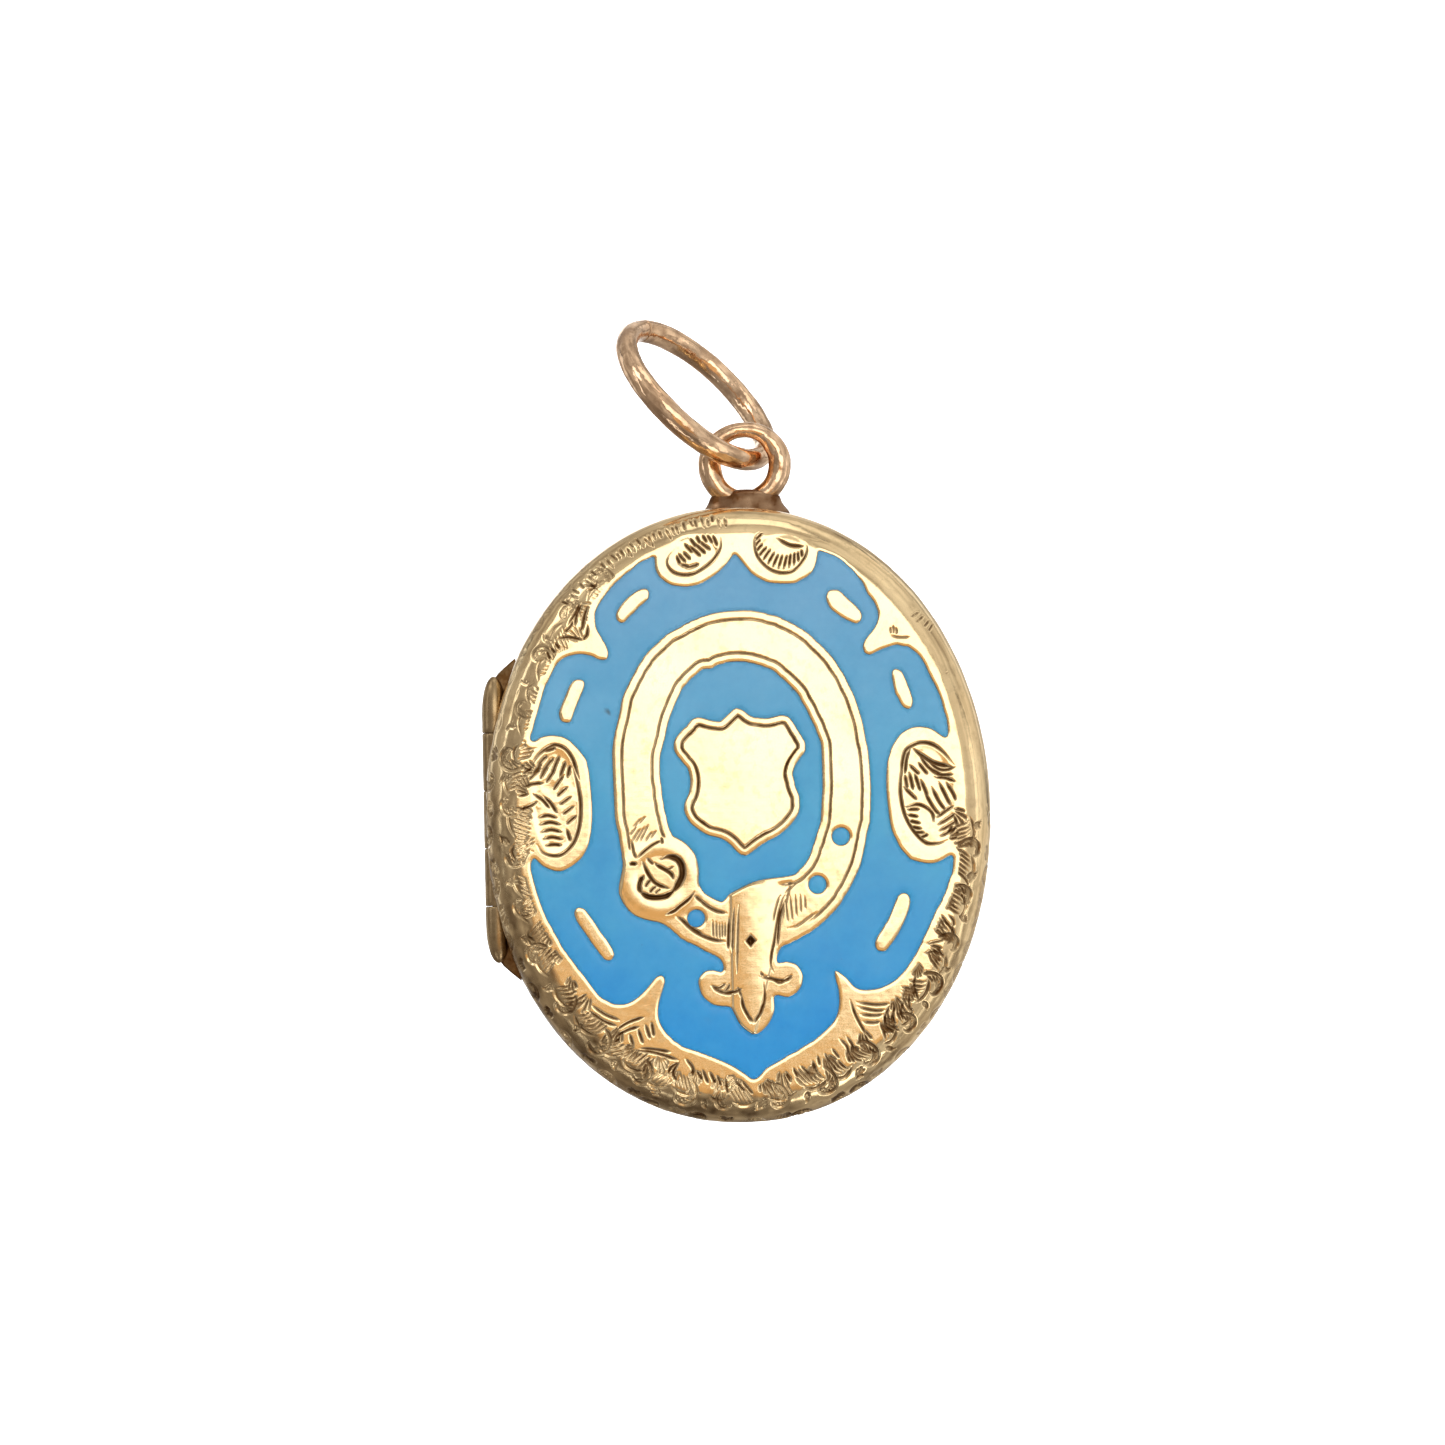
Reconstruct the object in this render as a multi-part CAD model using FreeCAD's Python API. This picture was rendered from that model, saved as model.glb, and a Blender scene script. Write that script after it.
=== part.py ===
import FreeCAD, Part
import math
import os

# Hinged oval photograph locket: two gold-cased halves, a champleve enamel front,
# a soldered bow on the rear half and a free jump ring.
# Millimetres.  Everything is laid out in a flat frame first (X right, Y up the
# face, Z towards the viewer, parting plane at Z = 0) and is then stood up so
# that +Z is up, the enamelled face looks along -Y and the origin is the centre
# of the bow's eye.

V = FreeCAD.Vector

# ---- driving dimensions ----------------------------------------------------
HALF_W = 11.1          # half width of the case
HALF_H = 13.5          # half height of the case
WALL = 0.45            # wall of each shell
PART_GAP = 0.03        # each half stops this far from the parting plane
SIDE_T = 1.0           # straight side up to here
FACE_T = 2.6           # outer face
SHOULDER_IN = 0.95     # the shoulder runs in by this much
LEAN = 0.42            # beside the hinge each wall leans out from the hinge axis, x per t
CAV_CHORD_X = -9.65
CAVITY_T = 1.85        # ceiling of the space behind the picture
CAVITY_IN = 0.3

CELL_FLOOR = 2.25      # floor of the enamel cells
ENAMEL_TOP = 2.58
HOLES = [(-2.07, -4.51, 0.36), (3.26, -3.15, 0.37), (4.33, -1.07, 0.37)]

RIM_IN = (9.30, 11.75)
LEDGE_IN = (8.60, 11.05)
RIM_SEAT_T = 0.86
BEZEL_OUT = (9.27, 11.72)
BEZEL_LIP = (8.35, 10.80)
BEZEL_SKIRT = (8.77, 11.22)
BEZEL_T = (0.10, 0.40, 0.74)
GLASS = (8.74, 11.19)
GLASS_T = (0.40, 0.74)
PICTURE_T = (0.74, 0.86)

HINGE_X = -10.6
HINGE_HALF = 6.3
BARREL_R = 0.55
RELIEF_R = 0.60
PIN_R = 0.25
LOOSE_BORE_R = 0.28
KNUCKLES = 5
KNUCKLE_GAP = 0.05
TAPER_LEN = 1.2
TAPER_R = 0.33
WEB_T = 0.50

SNAP_HALF = 1.60       # half length of the snap tongue
SNAP_X = (9.87, 10.10)
SNAP_T = (-0.70, 0.75)
POCKET_HALF = 1.75
POCKET_X = (9.70, 10.25)
POCKET_X_REAR = (9.70, 10.16)
BEAD_R = 0.17
GROOVE_R = 0.24
BEAD_T = -0.40

NAIL_R = 0.45
NAIL_OUT = 0.27
NAIL_HALF = 1.20

BOW_X = 0.717
BOW_Y = 15.545
BOW_T = -0.95
EYE_R = 1.57
EYE_WIRE_R = 0.51

RING_C = (-1.996, 1.340, 3.202)      # row frame, from the centre of the eye
RING_N = (0.6174, -0.4555, 0.6405)
RING_R = 3.95
RING_WIRE = (0.47, 0.57)             # half radial, half axial

# outlines on the face: enamel field, strap (outer and inner edge), shield, reserved leaves
FIELD = [
    (0.3, -11.54), (0.17, -11.49), (-0.78, -10.81), (-2.24, -10.22), (-2.76, -10.06), (-3.15, -9.79), (-3.45, -9.48), (-3.74, -9.01),
    (-3.81, -8.54), (-3.73, -8.02), (-3.47, -7.29), (-3.47, -7.12), (-3.53, -6.98), (-3.7, -6.95), (-3.88, -7.01), (-4.54, -7.77),
    (-4.9, -8.03), (-5.25, -8.17), (-5.74, -8.15), (-6.24, -7.87), (-6.41, -7.7), (-7.93, -5.58), (-8.48, -4.54), (-8.91, -3.44),
    (-9.17, -2.39), (-9.19, -1.96), (-9.09, -1.79), (-9.03, -1.79), (-8.65, -2.15), (-8.26, -2.33), (-7.96, -2.37), (-7.39, -2.12),
    (-7.03, -1.85), (-6.85, -1.62), (-6.61, -1.01), (-6.49, -0.36), (-6.47, 0.51), (-6.58, 1.99), (-6.73, 2.55), (-7.37, 3.32),
    (-7.67, 3.5), (-8.23, 3.6), (-8.62, 3.54), (-8.97, 3.33), (-9.1, 3.41), (-9.1, 3.56), (-8.97, 3.86), (-8.44, 5.68),
    (-7.85, 6.71), (-7.55, 6.92), (-7.29, 7.02), (-6.94, 7.07), (-6.33, 6.96), (-6.03, 6.8), (-5.82, 6.79), (-5.69, 6.85),
    (-5.63, 7.06), (-5.66, 7.24), (-5.78, 7.54), (-6.09, 8.07), (-6.18, 8.34), (-6.17, 8.95), (-5.94, 9.37), (-5.33, 10.11),
    (-4.18, 11.05), (-3.72, 11.24), (-3.59, 11.24), (-3.56, 10.78), (-3.34, 10.34), (-2.89, 10.03), (-2.17, 9.9), (-1.43, 10.11),
    (-0.94, 10.4), (-0.38, 10.9), (-0.14, 11.25), (-0.05, 11.29), (0.12, 11.13), (0.55, 10.55), (0.81, 10.33), (1.2, 10.12),
    (1.5, 10.02), (2.46, 9.99), (2.64, 10.03), (3.08, 10.26), (3.31, 10.45), (3.52, 10.84), (3.62, 11.36), (3.68, 11.41),
    (4.41, 11.13), (5.02, 10.62), (5.43, 10.1), (5.7, 9.5), (6.02, 9.09), (6.16, 8.69), (6.17, 8.43), (6.02, 8.04),
    (5.51, 7.39), (5.45, 7.17), (5.54, 6.91), (5.68, 6.83), (5.81, 6.82), (6.26, 7.05), (6.89, 7.24), (7.49, 7.12),
    (7.83, 6.86), (8.04, 6.6), (8.77, 5.02), (9.06, 4.0), (9.12, 3.39), (9.07, 3.22), (9.02, 3.19), (8.89, 3.23),
    (8.42, 3.6), (7.94, 3.68), (7.5, 3.62), (6.96, 3.31), (6.59, 2.74), (6.44, 2.26), (6.36, 1.57), (6.35, 0.78),
    (6.48, -0.59), (6.6, -1.01), (6.86, -1.59), (7.39, -2.16), (7.93, -2.32), (8.42, -2.35), (8.79, -2.19), (9.06, -2.02),
    (9.17, -2.02), (9.22, -2.07), (9.22, -2.2), (9.16, -2.77), (9.04, -2.98), (8.84, -3.63), (8.65, -4.02), (8.38, -4.41),
    (7.75, -5.79), (7.09, -6.87), (6.82, -7.15), (6.51, -7.42), (5.99, -7.67), (5.32, -7.77), (5.01, -7.74), (4.83, -7.64),
    (4.33, -7.12), (4.02, -6.89), (3.94, -6.92), (3.92, -7.14), (4.07, -7.67), (4.11, -8.28), (4.03, -8.76), (3.84, -9.12),
    (3.04, -9.87), (2.2, -10.36), (1.8, -10.53), (1.63, -10.66), (0.92, -11.02), (0.55, -11.42),
]
STRAP_OUTER = [
    (0.47, 8.9), (-0.49, 8.87), (-1.11, 8.77), (-2.03, 8.46), (-3.07, 7.93), (-4.12, 6.95), (-4.5, 6.35), (-5.08, 5.22),
    (-5.26, 4.36), (-5.47, 3.62), (-5.57, 3.06), (-5.6, 2.53), (-5.55, 0.05), (-5.4, -0.7), (-5.21, -2.17), (-5.42, -2.99),
    (-5.44, -3.29), (-5.41, -3.47), (-5.24, -3.82), (-5.03, -4.09), (-4.65, -4.4), (-4.22, -4.57), (-3.62, -4.68), (-3.22, -4.95),
    (-2.71, -5.42), (-1.24, -6.18), (-1.04, -6.34), (-0.94, -6.56), (-0.94, -6.74), (-1.0, -6.83), (-1.39, -6.76), (-1.65, -6.77),
    (-1.96, -7.03), (-2.05, -7.32), (-1.91, -7.84), (-1.78, -8.02), (-1.41, -8.29), (-1.2, -8.36), (-0.68, -8.39), (-0.22, -9.22),
    (0.19, -9.59), (0.3, -9.63), (0.6, -9.56), (0.87, -9.35), (1.08, -9.08), (1.27, -8.65), (1.29, -7.98), (1.47, -7.95),
    (1.77, -8.05), (1.95, -8.03), (2.3, -7.81), (2.49, -7.55), (2.55, -7.07), (2.47, -6.85), (2.32, -6.63), (2.2, -6.55),
    (1.89, -6.46), (1.46, -6.48), (1.46, -6.18), (1.6, -5.89), (2.91, -5.25), (3.62, -4.7), (4.31, -3.97), (4.63, -3.46),
    (5.01, -2.73), (5.19, -2.34), (5.47, -1.03), (5.65, -0.47), (5.73, 1.1), (5.63, 2.71), (5.37, 4.07), (5.02, 5.17),
    (4.64, 6.01), (4.19, 6.73), (3.16, 7.82), (2.43, 8.29), (1.96, 8.5), (1.82, 8.61), (1.34, 8.71), (1.21, 8.78),
]
STRAP_INNER = [
    (-0.98, -3.8), (-1.28, -3.65), (-1.73, -3.33), (-1.93, -2.93), (-1.9, -2.32), (-1.97, -1.93), (-2.08, -1.62), (-2.45, -1.21),
    (-3.01, -0.89), (-3.13, -0.62), (-3.33, 0.21), (-3.42, 0.8), (-3.43, 1.23), (-3.5, 1.58), (-3.49, 2.41), (-3.11, 4.05),
    (-2.72, 4.96), (-2.4, 5.55), (-2.11, 5.87), (-1.59, 6.29), (-1.16, 6.33), (-0.91, 6.5), (-0.5, 6.6), (0.07, 6.63),
    (0.99, 6.43), (1.42, 6.26), (1.64, 6.12), (2.58, 5.17), (2.7, 4.87), (2.94, 4.47), (3.28, 3.72), (3.51, 3.1),
    (3.55, 2.8), (3.57, 1.01), (3.45, -0.34), (2.97, -1.81), (2.77, -2.17), (2.37, -2.61), (2.19, -2.7), (1.01, -2.84),
    (0.39, -2.96), (-0.53, -3.42), (-0.89, -3.78),
]
SHIELD = [
    (0.11, -1.84), (0.34, -1.76), (0.82, -1.4), (1.48, -1.06), (1.88, -0.79), (2.21, -0.49), (2.44, -0.19), (2.59, 0.16),
    (2.57, 0.64), (2.39, 1.16), (2.3, 1.73), (2.38, 2.02), (2.85, 2.64), (2.88, 3.03), (2.42, 3.87), (2.12, 4.23),
    (1.77, 4.28), (1.2, 4.14), (0.68, 4.2), (0.46, 4.29), (0.2, 4.52), (-0.14, 4.63), (-0.28, 4.57), (-0.85, 4.07),
    (-1.29, 4.12), (-1.77, 4.26), (-2.07, 4.17), (-2.8, 3.4), (-2.89, 3.18), (-2.91, 2.92), (-2.77, 2.57), (-2.29, 1.97),
    (-2.2, 1.51), (-2.27, 0.95), (-2.44, 0.65), (-2.52, 0.3), (-2.5, 0.08), (-2.37, -0.18), (-2.21, -0.42), (-1.66, -0.84),
    (-0.75, -1.16), (-0.14, -1.75),
]
DASHES = [
    [(-3.88, 9.85), (-4.01, 9.91), (-4.27, 9.87), (-4.71, 9.58), (-4.98, 9.32), (-5.29, 8.89), (-5.31, 8.63), (-5.24, 8.49), (-5.08, 8.4), (-4.91, 8.44), (-4.33, 9.03), (-3.89, 9.39), (-3.81, 9.65)],
    [(5.41, 8.29), (5.49, 8.48), (5.42, 8.78), (4.68, 9.55), (4.38, 9.73), (4.12, 9.72), (3.99, 9.65), (3.89, 9.43), (3.89, 9.23), (4.1, 8.84), (4.53, 8.49), (5.1, 8.2), (5.23, 8.19)],
    [(-7.7, 4.13), (-7.44, 4.1), (-7.33, 4.18), (-6.75, 5.56), (-6.71, 5.86), (-6.79, 5.97), (-6.96, 6.0), (-7.18, 5.96), (-7.42, 5.66), (-7.87, 4.58), (-7.83, 4.27)],
    [(6.85, 6.21), (6.73, 6.1), (6.68, 5.93), (6.81, 5.14), (7.17, 4.51), (7.34, 4.42), (7.47, 4.43), (7.59, 4.56), (7.64, 4.78), (7.47, 5.39), (7.24, 6.0), (7.11, 6.15)],
    [(-7.29, -3.96), (-7.4, -4.21), (-7.32, -4.47), (-6.76, -5.35), (-6.16, -6.19), (-5.99, -6.29), (-5.77, -6.24), (-5.68, -6.11), (-5.65, -5.94), (-5.94, -5.37), (-6.23, -5.01), (-6.86, -4.04), (-7.08, -3.93)],
    [(7.16, -3.61), (6.94, -3.58), (6.72, -3.76), (6.26, -4.83), (5.76, -5.57), (5.71, -5.75), (5.73, -5.92), (5.88, -6.11), (6.1, -6.15), (6.25, -6.06), (6.69, -5.51), (7.04, -4.86), (7.27, -4.3), (7.32, -4.04), (7.29, -3.77)],
]

def ellipse_wire(a, b, t):
    e = Part.Ellipse(V(0, b, t), V(a, 0, t), V(0, 0, t))
    return Part.Wire([e.toShape()])


def oval(ab, t0, t1):
    return Part.Face(ellipse_wire(ab[0], ab[1], t0)).extrude(V(0, 0, t1 - t0))


def band(outer, inner, t0, t1):
    return oval(outer, t0, t1).cut(oval(inner, t0 - 1, t1 + 1))


def box(x0, x1, y0, y1, t0, t1):
    return Part.makeBox(x1 - x0, y1 - y0, t1 - t0, V(x0, y0, t0))


def right_of(x):
    return box(x, 30, -30, 30, -10, 10)


def outline(points, t0, t1):
    pts = [V(p[0], p[1], t0) for p in points]
    pts.append(pts[0])
    return Part.Face(Part.makePolygon(pts)).extrude(V(0, 0, t1 - t0))


def mirrored(shape):
    return shape.mirror(V(0, 0, 0), V(0, 0, 1))


# ---- shells -----------------------------------------------------------------
def shell_blank():
    side = oval((HALF_W, HALF_H), PART_GAP, SIDE_T)
    wires = []
    for i in range(7):
        s = math.radians(90.0 * i / 6)
        d = SHOULDER_IN * (1 - math.cos(s))
        wires.append(ellipse_wire(HALF_W - d, HALF_H - d,
                                  SIDE_T + (FACE_T - SIDE_T) * math.sin(s)))
    crown = Part.makeLoft(wires, True, False)
    body = side.fuse(crown)
    # everything left of a plane through the hinge axis goes, so that the halves can swing
    lean = Part.Face(Part.makePolygon([V(HINGE_X, -9, 0), V(HINGE_X - 4 * LEAN, -9, 4), V(-14, -9, 4),
                                       V(-14, -9, -1), V(HINGE_X, -9, -1), V(HINGE_X, -9, 0)])).extrude(V(0, 18, 0))
    return body.cut(lean)


def cavity():
    low = oval((HALF_W - WALL, HALF_H - WALL), -0.5, SIDE_T)
    w0 = ellipse_wire(HALF_W - WALL, HALF_H - WALL, SIDE_T)
    w1 = ellipse_wire(HALF_W - WALL - CAVITY_IN, HALF_H - WALL - CAVITY_IN, CAVITY_T)
    return low.fuse(Part.makeLoft([w0, w1], True, True)).common(right_of(CAV_CHORD_X))


def hinge_cylinder(r, y0, y1):
    return Part.makeCylinder(r, y1 - y0, V(HINGE_X, y0, 0), V(0, 1, 0))


blank = shell_blank()
relief = hinge_cylinder(RELIEF_R, -HINGE_HALF - 0.2, HINGE_HALF + 0.2)
nail = Part.makeCylinder(NAIL_R, 2 * NAIL_HALF, V(HALF_W + NAIL_OUT, -NAIL_HALF, 0), V(0, 1, 0))
plain = blank.cut(cavity()).cut(relief).cut(nail)

# ---- enamel cells and inlays -------------------------------------------------
def field_inlay(t0, t1):
    s = outline(FIELD, t0, t1).cut(outline(STRAP_OUTER, t0 - 1, t1 + 1))
    for d in DASHES:
        s = s.cut(outline(d, t0 - 1, t1 + 1))
    return s


def centre_inlay(t0, t1):
    return outline(STRAP_INNER, t0, t1).cut(outline(SHIELD, t0 - 1, t1 + 1))


def hole_inlays(t0, t1):
    return [Part.makeCylinder(r, t1 - t0, V(x, y, t0)) for x, y, r in HOLES]


enamel_field = field_inlay(CELL_FLOOR, ENAMEL_TOP)
enamel_centre = centre_inlay(CELL_FLOOR, ENAMEL_TOP)
enamel_holes = hole_inlays(CELL_FLOOR, ENAMEL_TOP)

front_cover = plain.cut(field_inlay(CELL_FLOOR, FACE_T + 0.2))
front_cover = front_cover.cut(centre_inlay(CELL_FLOOR, FACE_T + 0.2))
for h in hole_inlays(CELL_FLOOR, FACE_T + 0.2):
    front_cover = front_cover.cut(h)
back_cover = mirrored(plain)

# ---- rims, bezels, glazing, pictures ------------------------------------------
case_in = (HALF_W - WALL, HALF_H - WALL)
rim = band(case_in, RIM_IN, PART_GAP, RIM_SEAT_T).fuse(band(case_in, LEDGE_IN, RIM_SEAT_T, SIDE_T))
rim = rim.common(right_of(CAV_CHORD_X)).removeSplitter()
front_rim = rim.cut(box(POCKET_X[0], POCKET_X[1], -POCKET_HALF, POCKET_HALF, -0.5, 0.80))
groove = Part.makeCylinder(GROOVE_R, 2 * POCKET_HALF, V(SNAP_X[1], -POCKET_HALF, BEAD_T), V(0, 1, 0))
back_rim = mirrored(rim).cut(box(POCKET_X_REAR[0], POCKET_X_REAR[1], -POCKET_HALF, POCKET_HALF, -0.85, 0.5))
back_rim = back_rim.cut(groove)

bezel = band(BEZEL_OUT, BEZEL_LIP, BEZEL_T[0], BEZEL_T[1]).fuse(
    band(BEZEL_OUT, BEZEL_SKIRT, BEZEL_T[1], BEZEL_T[2])).removeSplitter()
glass = oval(GLASS, GLASS_T[0], GLASS_T[1])
picture = oval(GLASS, PICTURE_T[0], PICTURE_T[1])

# ---- hinge ---------------------------------------------------------------------
pitch = (2 * HINGE_HALF - (KNUCKLES - 1) * KNUCKLE_GAP) / KNUCKLES
front_knuckles, back_knuckles = [], []
for i in range(KNUCKLES):
    y0 = -HINGE_HALF + i * (pitch + KNUCKLE_GAP)
    y1 = y0 + pitch
    front = i % 2 == 1
    if i == 0:
        k = Part.makeCone(TAPER_R, BARREL_R, TAPER_LEN, V(HINGE_X, y0, 0), V(0, 1, 0))
        k = k.fuse(hinge_cylinder(BARREL_R, y0 + TAPER_LEN, y1))
        w0, w1 = y0 + 1.0, y1
    elif i == KNUCKLES - 1:
        k = Part.makeCone(BARREL_R, TAPER_R, TAPER_LEN, V(HINGE_X, y1 - TAPER_LEN, 0), V(0, 1, 0))
        k = k.fuse(hinge_cylinder(BARREL_R, y0, y1 - TAPER_LEN))
        w0, w1 = y0, y1 - 1.0
    else:
        k = hinge_cylinder(BARREL_R, y0, y1)
        w0, w1 = y0, y1
    if front:
        web = box(HINGE_X, CAV_CHORD_X, w0, w1, PART_GAP, WEB_T)
        front_cover = front_cover.cut(web)
    else:
        web = box(HINGE_X, CAV_CHORD_X, w0, w1, -WEB_T, -PART_GAP)
        back_cover = back_cover.cut(web)
    k = k.fuse(web).removeSplitter()
    bore = LOOSE_BORE_R if front else PIN_R
    k = k.cut(hinge_cylinder(bore, y0 - 1, y1 + 1))
    (front_knuckles if front else back_knuckles).append(k)
hinge_pin = hinge_cylinder(PIN_R, -HINGE_HALF + 0.04, HINGE_HALF - 0.04)

# ---- snap tongue ----------------------------------------------------------------
snap = box(SNAP_X[0], SNAP_X[1], -SNAP_HALF, SNAP_HALF, SNAP_T[0], SNAP_T[1])
snap = snap.fuse(Part.makeCylinder(BEAD_R, 2 * SNAP_HALF, V(SNAP_X[1], -SNAP_HALF, BEAD_T), V(0, 1, 0)))
snap = snap.removeSplitter()

# ---- bow ---------------------------------------------------------------------------
def foot_section(a, b, y):
    e = Part.Ellipse(V(BOW_X + a, y, BOW_T), V(BOW_X, y, BOW_T + b), V(BOW_X, y, BOW_T))
    return Part.Wire([e.toShape()])


foot = Part.makeLoft([foot_section(1.98, 0.76, 12.9), foot_section(1.86, 0.72, 13.45),
                      foot_section(1.62, 0.65, 13.88), foot_section(1.48, 0.59, 14.18),
                      foot_section(1.18, 0.50, 14.40)], True, False)
solid_back = mirrored(blank)
bow_foot = foot.cut(solid_back)
eye = Part.makeTorus(EYE_R, EYE_WIRE_R, V(BOW_X, BOW_Y, BOW_T), V(0, 0, 1))
bow_eye = eye.cut(foot).cut(solid_back)

# ---- jump ring, made directly in the row frame ------------------------------------
n = V(*RING_N)
n.normalize()
c = V(*RING_C)
prof = Part.Ellipse(V(RING_R, 0, RING_WIRE[1]), V(RING_R + RING_WIRE[0], 0, 0), V(RING_R, 0, 0))
ring = Part.Face(Part.Wire([prof.toShape()])).revolve(V(0, 0, 0), V(0, 0, 1), 360)
ring.Placement = FreeCAD.Placement(c, FreeCAD.Rotation(V(0, 0, 1), n))


def stand_up(shape):
    s = shape.copy()
    s.rotate(V(0, 0, 0), V(1, 0, 0), 90)
    s.translate(V(-BOW_X, BOW_T, -BOW_Y))
    return s


def solids(shapes):
    out = []
    for s in shapes:
        out.extend(s.Solids)
    return out


nodes = {
    "front_cover": [front_cover],
    "enamel_field": [enamel_field],
    "enamel_centre": [enamel_centre],
    "enamel_strap_holes": enamel_holes,
    "front_rim": [front_rim],
    "front_bezel": [bezel],
    "front_glass": [glass],
    "front_picture": [picture],
    "hinge_knuckles_front": front_knuckles,
    "back_cover": [back_cover],
    "back_rim": [back_rim],
    "back_bezel": [mirrored(bezel)],
    "back_glass": [mirrored(glass)],
    "back_picture": [mirrored(picture)],
    "hinge_knuckles_back": back_knuckles,
    "hinge_pin": [hinge_pin],
    "bow_foot": [bow_foot],
    "bow_eye": [bow_eye],
    "snap_tongue": [snap],
}

os.makedirs("parts", exist_ok=True)
for name, shapes in nodes.items():
    parts = [stand_up(s) for s in solids(shapes)]
    shape = parts[0] if len(parts) == 1 else Part.makeCompound(parts)
    shape.exportStep("parts/" + name + ".step")
    b = shape.BoundBox
    print("%-22s %d solid(s)  vol %8.3f  valid %s  x %.2f..%.2f y %.2f..%.2f z %.2f..%.2f" % (
        name, len(parts), shape.Volume, shape.isValid(), b.XMin, b.XMax, b.YMin, b.YMax, b.ZMin, b.ZMax))
ring = ring.Solids[0]
ring.exportStep("parts/jump_ring.step")
b = ring.BoundBox
print("%-22s 1 solid  vol %.3f valid %s x %.2f..%.2f y %.2f..%.2f z %.2f..%.2f" % (
    "jump_ring", ring.Volume, ring.isValid(), b.XMin, b.XMax, b.YMin, b.YMax, b.ZMin, b.ZMax))
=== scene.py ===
import bpy, math
import numpy as np
from mathutils import Vector, Matrix
from mathutils.geometry import delaunay_2d_cdt


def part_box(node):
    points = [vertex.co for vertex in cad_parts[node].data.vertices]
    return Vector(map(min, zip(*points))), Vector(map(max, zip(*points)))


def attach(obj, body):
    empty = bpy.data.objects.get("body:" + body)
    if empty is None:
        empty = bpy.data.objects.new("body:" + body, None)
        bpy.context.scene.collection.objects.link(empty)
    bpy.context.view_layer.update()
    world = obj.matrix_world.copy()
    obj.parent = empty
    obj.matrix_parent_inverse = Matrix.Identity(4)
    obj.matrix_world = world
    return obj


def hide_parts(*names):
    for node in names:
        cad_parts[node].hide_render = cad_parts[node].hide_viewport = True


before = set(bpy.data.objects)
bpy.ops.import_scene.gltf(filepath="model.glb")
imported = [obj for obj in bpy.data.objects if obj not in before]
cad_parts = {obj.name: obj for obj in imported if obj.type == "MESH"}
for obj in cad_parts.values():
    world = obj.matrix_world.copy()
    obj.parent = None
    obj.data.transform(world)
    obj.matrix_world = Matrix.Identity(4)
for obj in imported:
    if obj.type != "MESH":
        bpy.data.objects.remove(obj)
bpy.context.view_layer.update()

RNG = np.random.default_rng(11)

# ---------------------------------------------------------------- frame
_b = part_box("front_bezel")
CX, CZ = (_b[0].x + _b[1].x) * 500, (_b[0].z + _b[1].z) * 500
PY = (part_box("front_cover")[1].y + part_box("back_cover")[0].y) * 500
HALF_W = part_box("front_cover")[1].x * 1e3 - CX
HALF_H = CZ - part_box("front_cover")[0].z * 1e3
FACE_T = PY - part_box("front_cover")[0].y * 1e3
_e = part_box("bow_eye")
_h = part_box("hinge_pin")
HINGE_X = (_h[0].x + _h[1].x) * 500 - CX


def row(p):
    """Flat frame (x right, y up, t to the viewer, mm) to the row frame in metres."""
    p = np.asarray(p, float)
    return np.stack([p[..., 0] + CX, PY - p[..., 2], p[..., 1] + CZ], -1) * 1e-3


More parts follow.
